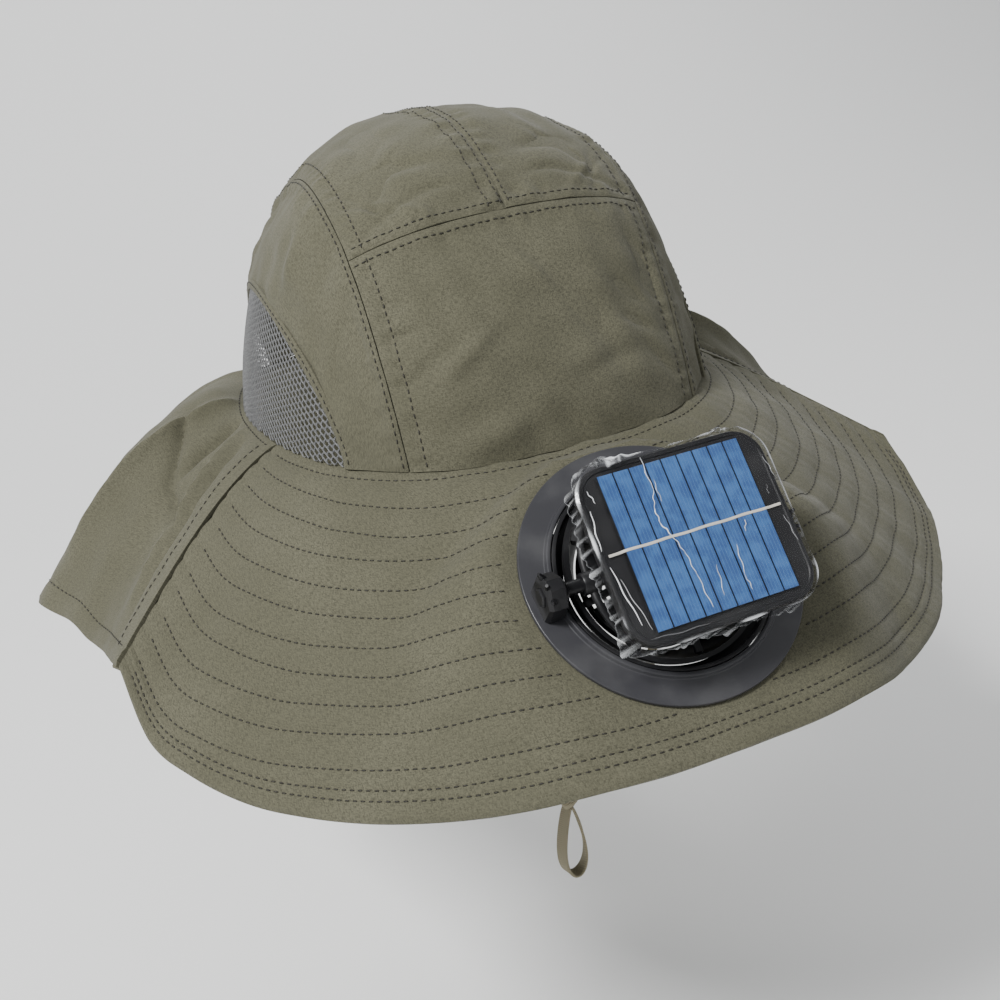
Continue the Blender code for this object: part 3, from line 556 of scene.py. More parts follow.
def ripple(points: Array, length: float, seed: int) -> Array:
    """Smooth seeded unevenness.

    Args:
        points: Places, three numbers each.
        length: Rough length of its waves in metres.
        seed: Which pattern.

    Returns:
        Values of about -1 to 1, one for each place.
    """
    chance = np.random.default_rng(seed)
    total = np.zeros(points.shape[:-1])
    waves = 7
    for _ in range(waves):
        direction = unit(chance.normal(size=3)) * (2 * pi / length) * chance.uniform(0.6, 1.5)
        total += np.sin(points @ direction + chance.uniform(0, 2 * pi))
    return total / sqrt(waves / 2) / 1.6


def grid_normals(grid: Array) -> Array:
    """Unit normals of a grid of points, from its neighbouring points."""
    return unit(np.cross(np.gradient(grid, axis=0), np.gradient(grid, axis=1)))


def arc_map(grid: Array) -> Array:
    """Flat place of each grid point, from the lengths of the grid's lines."""
    down = np.linalg.norm(np.diff(grid, axis=0), axis=2)
    over = np.linalg.norm(np.diff(grid, axis=1), axis=2)
    first = np.concatenate((np.zeros((1, grid.shape[1])), np.cumsum(down, axis=0)))
    second = np.concatenate((np.zeros((grid.shape[0], 1)), np.cumsum(over, axis=1)), axis=1)
    first -= first[first.shape[0] // 2]
    return np.stack((first, second), axis=-1)


# Mesh helpers


def make_piece(
    name: str, points: Array, faces: Iterable[Sequence[int]], finish: bpy.types.Material,
    flat: Array | None = None, sharp: float = SHARP_ANGLE,
) -> bpy.types.Object:
    """Make a smooth shaded mesh object.

    Args:
        name: The piece's name.
        points: Its points in the row frame.
        faces: Its faces, as lists of point numbers.
        finish: Its material.
        flat: Place of each point on the flat cloth, for the weave.
        sharp: Edges with a larger angle stay sharp.

    Returns:
        The object.
    """
    mesh = bpy.data.meshes.new(name)
    mesh.from_pydata(np.asarray(points, float).tolist(), [], [tuple(map(int, f)) for f in faces])
    if flat is not None:
        layer = mesh.uv_layers.new(name=WEAVE_MAP)
        corner = np.zeros(len(mesh.loops), np.int32)
        mesh.loops.foreach_get("vertex_index", corner)
        layer.uv.foreach_set("vector", flat[corner].astype(np.float32).ravel())
    mesh.validate()
    mesh.materials.append(finish)
    mesh.shade_smooth()
    mesh.set_sharp_from_angle(angle=sharp)
    piece = bpy.data.objects.new(name, mesh)
    bpy.context.scene.collection.objects.link(piece)
    return piece


def place_piece(
    piece: bpy.types.Object, body: Body, slot: Slot | None, *nodes: str,
) -> bpy.types.Object:
    """Let a piece ride on a body and let it stand for CAD nodes.

    Args:
        piece: The piece.
        body: The body that it rides on.
        slot: The record's slot, if it has one; not used.
        nodes: CAD nodes that it replaces.

    Returns:
        The piece.
    """
    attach(piece, body.value)
    if nodes:
        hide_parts(*nodes)
    faces = len(piece.data.polygons)
    log.info("%s rides on %s with %d faces", piece.name, body.value, faces)
    return piece


def shell_faces(rows: int, columns: int, kept: Array | None = None) -> list[tuple[int, ...]]:
    """Faces of a closed sheet between two grids of points.

    Args:
        rows: Number of grid rows.
        columns: Number of points in a row.
        kept: Which cells are there, or all of them.

    Returns:
        Faces over the outer grid, the inner grid and the walls between them.
    """
    if kept is None:
        kept = np.ones((rows - 1, columns - 1), bool)
    count = rows * columns
    index = np.arange(count).reshape(rows, columns)
    corners = (index[:-1, :-1], index[:-1, 1:], index[1:, 1:], index[1:, :-1])
    quads = np.stack([c[kept] for c in corners], axis=1)
    faces = [quads, count + quads[:, ::-1]]
    padded = np.pad(kept, 1)
    walls = (
        (padded[:-2, 1:-1], corners[0], corners[1]),
        (padded[2:, 1:-1], corners[2], corners[3]),
        (padded[1:-1, :-2], corners[3], corners[0]),
        (padded[1:-1, 2:], corners[1], corners[2]),
    )
    for neighbour, start, end in walls:
        edge = kept & ~neighbour
        a, b = start[edge], end[edge]
        faces.append(np.stack((b, a, count + a, count + b), axis=1))
    return [tuple(face) for face in np.concatenate(faces).tolist()]


def sheet_piece(
    name: str, outer: Array, inner: Array, finish: bpy.types.Material, kept: Array | None = None,
    plain: Array | None = None,
) -> bpy.types.Object:
    """Make a closed sheet of cloth from two grids of points.

    Args:
        name: The piece's name.
        outer: Points of its outer or upper face.
        inner: Points of its other face.
        finish: Its material.
        kept: Which cells are there, or all of them.
        plain: Grid that gives the weave's flat places, or the outer one.

    Returns:
        The object.
    """
    rows, columns = outer.shape[:2]
    points = np.concatenate((outer.reshape(-1, 3), inner.reshape(-1, 3)))
    faces = shell_faces(rows, columns, kept)
    middle = rows // 2 * columns + columns // 2
    face = np.array([points[i] for i in (middle, middle + 1, middle + columns)])
    normal = np.cross(face[1] - face[0], face[2] - face[0])
    if normal @ (outer.reshape(-1, 3)[middle] - inner.reshape(-1, 3)[middle]) < 0:
        faces = [face[::-1] for face in faces]
    used = np.unique(np.concatenate([np.array(f) for f in faces]))
    fresh = np.full(len(points), -1)
    fresh[used] = np.arange(len(used))
    faces = [tuple(fresh[list(face)]) for face in faces]
    flat = arc_map(outer if plain is None else plain).reshape(-1, 2)
    return make_piece(name, points[used], faces, finish, np.concatenate((flat, flat))[used])


def declare_sheet(
    grid: Array,
) -> None:
    """Work out a sheet's flat places and the crossings of its cells, keeping neither.

    Args:
        grid: Points of its plain surface.
    """
    flat = arc_map(grid)
    crossed = np.cross(grid[1:, 1:] - grid[:-1, :-1], grid[1:, :-1] - grid[:-1, 1:])


def lathe(profile: Sequence[tuple[float, float]], steps: int) -> tuple[Array, list[tuple[int, ...]]]:
    """Turn a closed profile round Z.

    Args:
        profile: Radius and height of each point.
        steps: Number of steps round.

    Returns:
        Points and faces.
    """
    points: list[tuple[float, float, float]] = []
    rings = []
    turn = 2 * pi * np.arange(steps) / steps
    for radius, height in profile:
        if radius == 0.0:
            rings.append([len(points)] * steps)
            points.append((0.0, 0.0, height))
            continue
        rings.append(list(range(len(points), len(points) + steps)))
        points += [(radius * cos(a), radius * sin(a), height) for a in turn]
    faces = []
    for low, high in zip(rings, rings[1:] + rings[:1]):
        for i in range(steps):
            j = (i + 1) % steps
            face = tuple(dict.fromkeys((low[i], low[j], high[j], high[i])))
            if len(face) > 2:
                faces.append(face)
    return np.array(points), faces


def rounded(profile: Sequence[tuple[float, float]], radius: float, steps: int = 3) -> list[tuple[float, float]]:
    """Round the corners of a closed profile.

    Args:
        profile: Corner points.
        radius: Radius of the rounding, less where an edge is short.
        steps: Points for each corner, less one.

    Returns:
        The profile with its corners rounded, except on the axis.
    """
    result = []
    corners = [np.array(p, float) for p in profile]
    for before, corner, after in zip(corners[-1:] + corners[:-1], corners, corners[1:] + corners[:1]):
        if corner[0] == 0.0:
            result.append(tuple(corner))
            continue
        back, ahead = before - corner, after - corner
        reach = min(radius, 0.45 * np.linalg.norm(back), 0.45 * np.linalg.norm(ahead))
        start = corner + unit(back) * reach
        end = corner + unit(ahead) * reach
        for i in range(steps + 1):
            share = i / steps
            point = start * (1 - share) ** 2 + 2 * corner * share * (1 - share) + end * share**2
            result.append(tuple(point))
    return result


def moved(points: Array, place: Matrix) -> Array:
    """Points through a matrix."""
    numbers = np.array(place)
    return np.asarray(points) @ numbers[:3, :3].T + numbers[:3, 3]


def joined(parts: Iterable[tuple[Array, Iterable[Sequence[int]]]]) -> tuple[Array, list[tuple[int, ...]]]:
    """Several meshes as one list of points and one of faces."""
    points, faces, count = [], [], 0
    for spots, cells in parts:
        points.append(np.asarray(spots, float))
        faces += [tuple(count + int(k) for k in cell) for cell in cells]
        count += len(spots)
    return np.concatenate(points), faces


def facing_out(points: Array, faces: list[tuple[int, ...]]) -> list[tuple[int, ...]]:
    """Faces turned so that a closed mesh holds a positive volume."""
    total = 0.0
    for face in faces:
        a = points[face[0]]
        for i in range(1, len(face) - 1):
            total += np.dot(a, np.cross(points[face[i]], points[face[i + 1]]))
    return [face[::-1] for face in faces] if total < 0 else faces


def tube(path: Array, radius: Array | float, sides: int = 8) -> tuple[Array, list[tuple[int, ...]]]:
    """Round rod along a path, closed at its ends.

    Args:
        path: Points of its centreline.
        radius: Its radius, or one for each point.
        sides: Number of sides.

    Returns:
        Points and faces.
    """
    path = np.asarray(path, float)
    tangent = unit(np.gradient(path, axis=0))
    guide = np.array((0.0, 0.0, 1.0)) if abs(tangent[0][2]) < 0.8 else np.array((0.0, 1.0, 0.0))
    across = unit(np.cross(tangent, guide))
    over = np.cross(tangent, across)
    turn = 2 * pi * np.arange(sides) / sides
    size = np.broadcast_to(np.asarray(radius, float), (len(path),))[:, None, None]
    ring = across[:, None] * np.cos(turn)[None, :, None] + over[:, None] * np.sin(turn)[None, :, None]
    points = (path[:, None] + ring * size).reshape(-1, 3)
    faces = [tuple(range(sides)), tuple((len(path) - 1) * sides + i for i in range(sides))[::-1]]
    for i in range(len(path) - 1):
        for k in range(sides):
            a, b = i * sides + k, i * sides + (k + 1) % sides
            faces.append((a, a + sides, b + sides, b))
    return points, facing_out(points, faces)


@dataclass
class Stitching:
    """Runs of machine stitches, a short raised dash of thread each."""

    pitch: float = 2.75 * MILLIMETRE
    dash: float = 1.95 * MILLIMETRE
    radius: float = 0.25 * MILLIMETRE
    height: float = 0.14 * MILLIMETRE
    points: list[Array] = field(default_factory=list)
    count: int = 0

    def add_row(self, line: Array, normal: Array) -> None:
        """Sew along a line on the cloth.

        Args:
            line: Points of the line, close together.
            normal: The cloth's normal at each of them.
        """
        step = np.linalg.norm(np.diff(line, axis=0), axis=1)
        reach = np.concatenate(([0.0], np.cumsum(step)))
        amount = int((reach[-1] - self.dash) / self.pitch)
        if amount < 1:
            return
        starts = self.pitch * (np.arange(amount) + 0.5 * (reach[-1] / self.pitch - amount))
        shares = np.array((0.0, 0.22, 0.78, 1.0))
        at = starts[:, None] + shares * self.dash
        place = np.stack([np.interp(at, reach, line[:, k]) for k in range(3)], axis=-1)
        up = unit(np.stack([np.interp(at, reach, normal[:, k]) for k in range(3)], axis=-1))
        along = unit(place[:, 3:] - place[:, :1])
        side = unit(np.cross(along, up))
        lift = np.array((-0.6, 1.0, 1.0, -0.6))[None, :, None] * self.height
        centre = place + up * lift
        for dash in range(amount):
            ring = [centre[dash, 0]]
            for k in (1, 2):
                for a, b in ((1, 0), (0, 1), (-1, 0), (0, -1)):
                    ring.append(centre[dash, k] + (side[dash, k] * a + up[dash, k] * b) * self.radius)
            ring.append(centre[dash, 3])
            self.points.append(np.array(ring))
        self.count += amount

    def piece(self, name: str, finish: bpy.types.Material) -> bpy.types.Object:
        """Make the dashes as one mesh."""
        pattern = [(0, 1 + (k + 1) % 4, 1 + k) for k in range(4)]
        pattern += [(1 + k, 1 + (k + 1) % 4, 5 + (k + 1) % 4, 5 + k) for k in range(4)]
        pattern += [(9, 5 + k, 5 + (k + 1) % 4) for k in range(4)]
        first = self.points[0]
        pattern = [tuple(f) for f in facing_out(first - first.mean(axis=0), pattern)]
        faces = [tuple(10 * i + k for k in f) for i in range(len(self.points)) for f in pattern]
        return make_piece(name, np.concatenate(self.points), faces, finish, sharp=pi)


# Crown


class Section(NamedTuple):
    """Outline of the crown at one height, as shares of its largest sizes."""

    height: float
    width: float
    front: float
    back: float
    squareness: float


@dataclass
class CrownForm:
    """The crown's outer face as a formula."""

    width: float = 0.171
    front: float = 0.101
    back: float = 0.094
    height: float = 0.1025
    back_squareness: float = 2.0
    cloth: float = 0.0016
    sections: tuple[Section, ...] = (
        Section(0.000, 1.000, 1.000, 1.000, 2.46),
        Section(0.180, 0.965, 0.945, 0.985, 2.46),
        Section(0.350, 0.925, 0.875, 0.955, 2.45),
        Section(0.520, 0.880, 0.790, 0.905, 2.42),
        Section(0.660, 0.820, 0.690, 0.820, 2.38),
        Section(0.770, 0.735, 0.585, 0.715, 2.32),
        Section(0.860, 0.620, 0.465, 0.590, 2.25),
        Section(0.930, 0.470, 0.335, 0.440, 2.15),
        Section(0.975, 0.290, 0.200, 0.270, 2.05),
        Section(1.000, 0.000, 0.000, 0.000, 2.00),
    )

    def __post_init__(self) -> None:
        """Work out the sections at close heights once."""
        rises = np.linspace(0, 1, 1601)
        place = rises * (len(self.sections) - 1)
        index = np.minimum(place.astype(int), len(self.sections) - 2)
        share = (place - index)[:, None]
        table = np.array(self.sections)
        last = len(self.sections) - 1
        a, b = table[np.maximum(index - 1, 0)], table[index]
        c, d = table[index + 1], table[np.minimum(index + 2, last)]
        curve = 2 * b + (c - a) * share + (2 * a - 5 * b + 4 * c - d) * share**2
        self.table = 0.5 * (curve + (3 * b - a - 3 * c + d) * share**3)

    def section(self, height: Array) -> tuple[Array, Array, Array, Array]:
        """Half width, front, back and squareness at a height in metres."""
        share = np.clip(np.asarray(height) / self.height, 0.0, 1.0)
        levels = self.table[:, 0]
        width = np.interp(share, levels, self.table[:, 1]) * self.width / 2
        front = np.interp(share, levels, self.table[:, 2]) * self.front
        rear = np.interp(share, levels, self.table[:, 3]) * self.back
        return width, front, rear, np.interp(share, levels, self.table[:, 4])

    def reach(self, height: Array, across: Array, back: bool) -> Array:
        """How far ahead of or behind the centre the face is.

        Args:
            height: Height over the base.
            across: Distance from the middle plane.
            back: Whether it is the back.

        Returns:
            The distance along Y, without sign.
        """
        width, front, rear, power = self.section(height)
        power = self.back_squareness if back else power
        share = np.minimum(np.abs(across) / np.maximum(width, 1e-9), 1.0)
        return (rear if back else front) * (1 - share**power) ** (1 / power)

    def side_reach(self, height: Array, along: Array) -> Array:
        """Half width of the crown at a height and a place along Y."""
        width, front, rear, power = self.section(height)
        behind = np.asarray(along) > 0
        power = np.where(behind, self.back_squareness, power)
        limit = np.maximum(np.where(behind, rear, front), 1e-9)
        share = np.minimum(np.abs(along) / limit, 1.0)
        return width * (1 - share**power) ** (1 / power)

    def inside(self, across: Array, along: Array, height: Array) -> Array:
        """Whether points are inside the crown."""
        return (np.abs(across) < self.side_reach(height, along)) & (height < self.height)

    def base(self, angle: Array, inset: float = 0.0) -> Array:
        """Points of the base outline.

        Args:
            angle: Angle from -Y towards +X.
            inset: Distance inwards.

        Returns:
            The points.
        """
        side, ahead = np.sin(angle), np.cos(angle)
        power = 2 / np.where(ahead > 0, self.sections[0].squareness, self.back_squareness)
        reach = np.where(ahead > 0, self.front, self.back) - inset
        across = np.abs(side) ** power * (self.width / 2 - inset) * np.sign(side)
        along = -np.abs(ahead) ** power * reach * np.sign(ahead)
        return np.stack((across, along, np.zeros_like(across)), axis=-1)


class Crease(NamedTuple):
    """A fold or pucker: its middle, direction and size in the panel's own measure, in metres."""

    first: float
    second: float
    turn: float
    length: float
    width: float
    height: float


def creased(flat: Array, creases: Sequence[Crease]) -> Array:
    """Height of a panel's creases.

    Args:
        flat: Places on the panel, two numbers each.
        creases: The creases.

    Returns:
        The height at each place.
    """
    total = np.zeros(flat.shape[:-1])
    for crease in creases:
        offset = flat - np.array((crease.first, crease.second))
        turn = radians(crease.turn)
        along = offset[..., 0] * cos(turn) + offset[..., 1] * sin(turn)
        over = offset[..., 1] * cos(turn) - offset[..., 0] * sin(turn)
        over = over + 0.12 * crease.length * (along / crease.length) ** 2
        total += crease.height * bell(over, crease.width) * bell(along, crease.length / 2)
    return total


class Dent(NamedTuple):
    """A wide hollow of the worn crown: its centre, width and depth in metres."""

    x: float
    y: float
    z: float
    width: float
    depth: float


@dataclass
class Crown:
    """Panels of the crown with their seams, and the net vents in its sides."""

    palette: Palette
    form: CrownForm = field(default_factory=CrownForm)
    strip: float = 0.108
    cross_middle: float = 0.72
    cross_side: float = 0.63
    seam_gap: float = 0.0003
    step: float = 1.25 * MILLIMETRE
    edge_roll: float = 0.35 * MILLIMETRE
    edge_width: float = 0.8 * MILLIMETRE
    band: float = 3.9 * MILLIMETRE
    band_height: float = 0.30 * MILLIMETRE
    wave: float = 0.95 * MILLIMETRE
    pucker: float = 0.48 * MILLIMETRE
    crease_strength: float = 1.6
    dents: tuple[Dent, ...] = (
        Dent(-0.062, 0.022, 0.084, 0.036, 0.0056), Dent(0.062, -0.044, 0.078, 0.022, -0.0012),
        Dent(-0.078, 0.040, 0.052, 0.026, 0.0020), Dent(0.030, 0.050, 0.096, 0.034, 0.0020),
    )
    vent_length: float = 0.138
    vent_height: float = 0.050
    vent_power: float = 0.75
    binding: float = 3.4 * MILLIMETRE
    net_pitch: float = 2.5 * MILLIMETRE
    net_rise: float = 1.9 * MILLIMETRE
    net_turn: float = radians(38.0)
    strand: float = 0.28 * MILLIMETRE
    stitches: Stitching = field(default_factory=Stitching)

    def seam_plane(self, back: bool) -> tuple[Array, Array]:
        """Point and direction, in (y, z), of the plane of a cross seam."""
        middle, side = self.cross_middle * self.form.height, self.cross_side * self.form.height
        ahead = float(self.form.reach(middle, 0.0, False) - self.form.reach(side, self.strip / 2, False))
        sign = 1.0 if back else -1.0
        point = np.array((sign * float(self.form.reach(middle, 0.0, back)), middle))
        direction = np.array((sign * ahead, middle - side))
        return point, direction / np.linalg.norm(direction)

    def seam_height(self, across: Array, back: bool) -> Array:
        """Height where the cross seam passes at a distance from the middle plane."""
        point, up = self.seam_plane(back)
        sign = 1.0 if back else -1.0
        low = np.zeros_like(across)
        high = np.full_like(across, self.form.height)
        for _ in range(40):
            middle = (low + high) / 2
            line = point[0] + (middle - point[1]) * up[0] / up[1]
            outward = sign * (sign * self.form.reach(middle, across, back) - line) > 0
            low, high = np.where(outward, middle, low), np.where(outward, high, middle)
        return low

    def panel(
        self, name: str, grid: Array, open_edges: Sequence[str], creases: Sequence[Crease] = (),
        seed: int = 0,
    ) -> Array:
        """Make one panel of cloth over a grid on the crown's face.

        Args:
            name: The CAD node that it stands for.
            grid: Points on the crown's face.
            open_edges: Edges that end in no seam: first, last, start or end.
            creases: Its creases, in metres from the grid's first corner.
            seed: Pattern of its unevenness.

        Returns:
            The grid of its outer face.
        """
        normal = grid_normals(grid)
        centre = np.array((0.0, 0.0, self.form.height * 0.4))
        normal *= np.where(np.sum(normal * (grid - centre), axis=2, keepdims=True) > 0, 1.0, -1.0)
        flat = arc_map(grid)
        flat[..., 0] -= flat[:1, :, 0].copy()
        distances = self.edge_distances(flat, open_edges)
        edge = np.minimum.reduce(list(distances.values()))
        free = ease(edge / (7 * MILLIMETRE))
        lift = self.wave * (ripple(grid, 0.050, seed) + 0.45 * ripple(grid, 0.019, seed + 50)) * free
        lift += self.crease_strength * creased(flat, creases)
        lines = {"first": grid[:1], "last": grid[-1:], "start": grid[:, :1], "end": grid[:, -1:]}
        for key, distance in distances.items():
            gathers = ripple(lines[key], 0.0058, seed + 90) + 0.5 * ripple(lines[key], 0.013, seed + 91)
            lift += self.pucker * gathers * bell(distance - 4.4 * MILLIMETRE, 3.2 * MILLIMETRE)
        lift += self.band_height * (1 - ease((edge - self.band + 0.5 * MILLIMETRE) / (0.5 * MILLIMETRE)))
        lift -= self.edge_roll * (1 - ease(edge / self.edge_width))
        outer = grid + normal * lift[..., None]
        inner = grid - normal * self.form.cloth
        inner[..., 2] = np.where(grid[..., 2] < 1e-6, grid[..., 2], inner[..., 2])
        outer[..., 2] = np.where(grid[..., 2] < 1e-6, grid[..., 2], outer[..., 2])
        piece = sheet_piece(name + "_cloth", outer, inner, self.palette["cloth"])
        place_piece(piece, Body.HAT, Slot.CLOTH, name)
        declare_sheet(outer)
        self.outer[name] = (outer, grid_normals(outer))
        return outer

    def edge_distances(self, flat: Array, open_edges: Sequence[str]) -> dict[str, Array]:
        """Distance of each grid point from each sewn edge, in metres."""
        first, second = flat[..., 0], flat[..., 1]
        parts = {
            "first": first - first[:1], "last": first[-1:] - first,
            "start": second - second[:, :1], "end": second[:, -1:] - second,
        }
        return {key: value for key, value in parts.items() if key not in open_edges}

    def dented(self, points: Array) -> Array:
        """Points of the crown's face, pressed in where the worn cloth has slumped."""
        inward = unit(np.array((0.0, 0.0, self.form.height * 0.4)) - points)
        depth = np.zeros(points.shape[:-1])
        for dent in self.dents:
            away = np.linalg.norm(points - np.array((dent.x, dent.y, dent.z)), axis=-1)
            depth += dent.depth * bell(away, dent.width)
        depth *= ease(points[..., 2] / (0.25 * self.form.height))
        return points + inward * depth[..., None]

    def front_grid(self, back: bool) -> Array:
        """Grid of the front or back panel, from side to side and up."""
        half = self.strip / 2 - self.seam_gap / 2
        across = np.linspace(-half, half, int(2 * half / self.step))
        top = self.seam_height(across, back) - self.seam_gap / 2
        rows = int(self.cross_middle * self.form.height * 1.15 / self.step)
        height = np.linspace(0, 1, rows)[None, :] * top[:, None]
        across = np.broadcast_to(across[:, None], height.shape)
        along = self.form.reach(height, across, back) * (1 if back else -1)
        return self.dented(np.stack((across, along, height), axis=-1))

    def top_grid(self, side: Side) -> Array:
        """Grid of a top panel, from the middle outwards and from front to back."""
        near, far = 0.0, self.strip / 2 - self.seam_gap / 2
        across = np.linspace(near, far, int((far - near) / self.step)) * side.value
        centre = 0.3 * self.form.height
        ends = []
        for back in (False, True):
            height = self.seam_height(across, back) + self.seam_gap / 2
            along = self.form.reach(height, across, back) * (1 if back else -1)
            ends.append(np.arctan2(height - centre, along))
        share = np.linspace(0, 1, int(0.165 / self.step))
        angle = ends[0][:, None] + (ends[1] - ends[0])[:, None] * share
        across = np.broadcast_to(across[:, None], angle.shape)
        low = np.zeros(angle.shape)
        high = np.full(angle.shape, self.form.front * 1.2)
        for _ in range(40):
            middle = (low + high) / 2
            within = self.form.inside(across, middle * np.cos(angle), centre + middle * np.sin(angle))
            low, high = np.where(within, middle, low), np.where(within, high, middle)
        return self.dented(np.stack((across, low * np.cos(angle), centre + low * np.sin(angle)), axis=-1))

    def arch_radius(self, angle: Array, grow: float = 0.0) -> Array:
        """Distance of the vent's arch from the middle of its foot, in (y, z)."""
        half, height = self.vent_length / 2 + grow, self.vent_height + grow
        low, high = np.zeros_like(angle), np.full_like(angle, 2 * half)
        for _ in range(40):
            middle = (low + high) / 2
            share = np.minimum(np.abs(middle * np.cos(angle)) / half, 1.0)
            within = middle * np.sin(angle) < height * (1 - share**2) ** self.vent_power
            low, high = np.where(within, middle, low), np.where(within, high, middle)
        return low

    def strip_radius(self, angle: Array) -> Array:
        """Distance of the strip's seam from the middle of the base, in (y, z)."""
        edge = self.strip / 2 + self.seam_gap / 2
        low, high = np.zeros_like(angle), np.full_like(angle, 1.3 * self.form.front)
        for _ in range(40):
            middle = (low + high) / 2
            wide = self.form.side_reach(middle * np.sin(angle), -middle * np.cos(angle)) > edge
            low, high = np.where(wide, middle, low), np.where(wide, high, middle)
        return low

    def side_point(self, side: Side, angle: Array, radius: Array) -> Array:
        """Points of the crown's side, from places in (y, z) in polar measure; angle 0 is ahead."""
        along, height = -radius * np.cos(angle), radius * np.sin(angle)
        across = self.form.side_reach(height, along) * side.value
        return self.dented(np.stack((across, along, height), axis=-1))

    def side_grid(self, side: Side) -> Array:
        """Grid of a side panel, from front to back round the vent and from vent to seam."""
        angle = np.linspace(0.0, pi, int(0.235 / self.step))
        inner = self.arch_radius(angle, self.seam_gap / 2)
        outer = self.strip_radius(angle)
        share = np.linspace(0, 1, int(0.042 / self.step))
        radius = inner[:, None] + (outer - inner)[:, None] * share
        return self.side_point(side, np.broadcast_to(angle[:, None], radius.shape), radius)

    def build(self) -> None:
        """Make every piece of the crown."""
        self.outer: dict[str, tuple[Array, Array]] = {}
        front = (
            Crease(0.016, 0.035, 35, 0.020, 0.0030, -0.0008), Crease(0.029, 0.037, 36, 0.026, 0.0030, 0.0009),
            Crease(0.094, 0.044, -45, 0.016, 0.0018, -0.0009), Crease(0.094, 0.033, -34, 0.017, 0.0018, -0.0009),
            Crease(0.100, 0.018, -54, 0.016, 0.0018, -0.0008), Crease(0.1055, 0.050, -73, 0.025, 0.0022, -0.0010),
            Crease(0.077, 0.024, 5, 0.024, 0.0035, -0.0008), Crease(0.058, 0.060, -56, 0.024, 0.0022, 0.0007),
            Crease(0.033, 0.010, 14, 0.030, 0.0050, 0.0010), Crease(0.008, 0.045, 18, 0.012, 0.0014, -0.0007),
            Crease(0.010, 0.056, 4, 0.010, 0.0013, -0.0007), Crease(0.070, 0.045, 120, 0.045, 0.0060, -0.0010),
        )
        top = (
            Crease(0.040, 0.0127, 39, 0.030, 0.0014, -0.0012), Crease(0.043, 0.0162, 65, 0.018, 0.0013, -0.0009),
            Crease(0.036, 0.010, 38, 0.028, 0.0030, 0.0013), Crease(0.027, 0.029, 10, 0.024, 0.0035, -0.0012),
            Crease(0.021, 0.0145, 4, 0.016, 0.0016, -0.0007), Crease(0.035, 0.026, -55, 0.026, 0.0020, -0.0011),
            Crease(0.036, 0.0107, -18, 0.022, 0.0016, -0.0009), Crease(0.030, 0.060, 100, 0.050, 0.0060, -0.0012),
        )
        side = (
            Crease(0.040, 0.0174, 37, 0.026, 0.0035, -0.0010), Crease(0.072, 0.030, 45, 0.024, 0.0030, -0.0010),
            Crease(0.084, 0.0235, 39, 0.026, 0.0022, 0.0011), Crease(0.140, 0.018, 95, 0.026, 0.0040, 0.0009),
            Crease(0.185, 0.020, 110, 0.028, 0.0040, -0.0010), Crease(0.215, 0.018, 140, 0.026, 0.0035, -0.0009),
        )
        self.panel("crown_front", self.front_grid(False), ("start",), front, 3)
        self.panel("crown_back", self.front_grid(True), ("start",), front[6:], 11)
        for place in Side:
            self.panel(f"crown_top_{place.word}", self.top_grid(place), (), top, 20 + place.value)
            grid = self.side_grid(place)
            self.panel(f"crown_side_{place.word}", grid, ("first", "last", "start"), side, 30 + place.value)
            self.build_vent(place)
        self.sew()

    def build_vent(self, side: Side) -> None:
        """Make the net of one vent and the binding along its arch."""
        lattice = self.net_cells(side)
        piece = make_piece(f"vent_net_{side.word}", *lattice, self.palette["net"], sharp=pi)
        place_piece(piece, Body.HAT, Slot.NET, f"vent_mesh_{side.word}")
        angle = np.linspace(0.0, pi, int(0.19 / self.step))
        share = np.linspace(0, 1, 7)
        middle = self.arch_radius(angle)
        radius = middle[:, None] + (share - 0.35) * self.binding
        grid = self.side_point(side, np.broadcast_to(angle[:, None], radius.shape), radius)
        normal = grid_normals(grid)
        normal *= np.where(normal[..., :1] * side.value > 0, 1.0, -1.0)
        crown = np.sqrt(np.maximum(1 - (2 * share - 1) ** 4, 0.0))
        outer = grid + normal * (0.1 * MILLIMETRE + 0.55 * MILLIMETRE * crown)[None, :, None]
        outer[..., 2] = np.maximum(outer[..., 2], 0.0)
        inner = grid - normal * self.form.cloth * 0.5
        inner[..., 2] = np.maximum(inner[..., 2], 0.0)
        binding = sheet_piece(f"vent_binding_{side.word}", outer, inner, self.palette["cloth"])
        place_piece(binding, Body.HAT, Slot.CLOTH)
        column = int(round(0.72 * 6))
        self.stitches.add_row(outer[:, column], unit(outer - inner)[:, column])

    def net_cells(self, side: Side) -> tuple[Array, list[tuple[int, ...]]]:
        """Strands round staggered oval holes, over the inside of the vent's arch.

        Args:
            side: Which vent.

        Returns:
            Points and faces.
        """
        size = np.array((self.net_pitch, self.net_rise))
        reach = int(self.vent_length / self.net_rise) + 2
        axis = np.array((cos(self.net_turn), sin(self.net_turn)))
        turn = np.array((axis, (-axis[1], axis[0])))
        corner = np.array(((-1, -1), (0, -1), (1, -1), (1, 0), (1, 1), (0, 1), (-1, 1), (-1, 0))) / 2
        hole = corner * np.where(np.abs(corner).sum(axis=1, keepdims=True) > 0.6, 0.54, 0.74)
        spots, faces, seen = [], [], {}

        def vertex(place: Array, level: int) -> int:
            key = (round(place[0] * 4), round(place[1] * 4), level)
            if key not in seen:
                seen[key] = len(spots)
                spots.append((*(place * size @ turn), level))
            return seen[key]

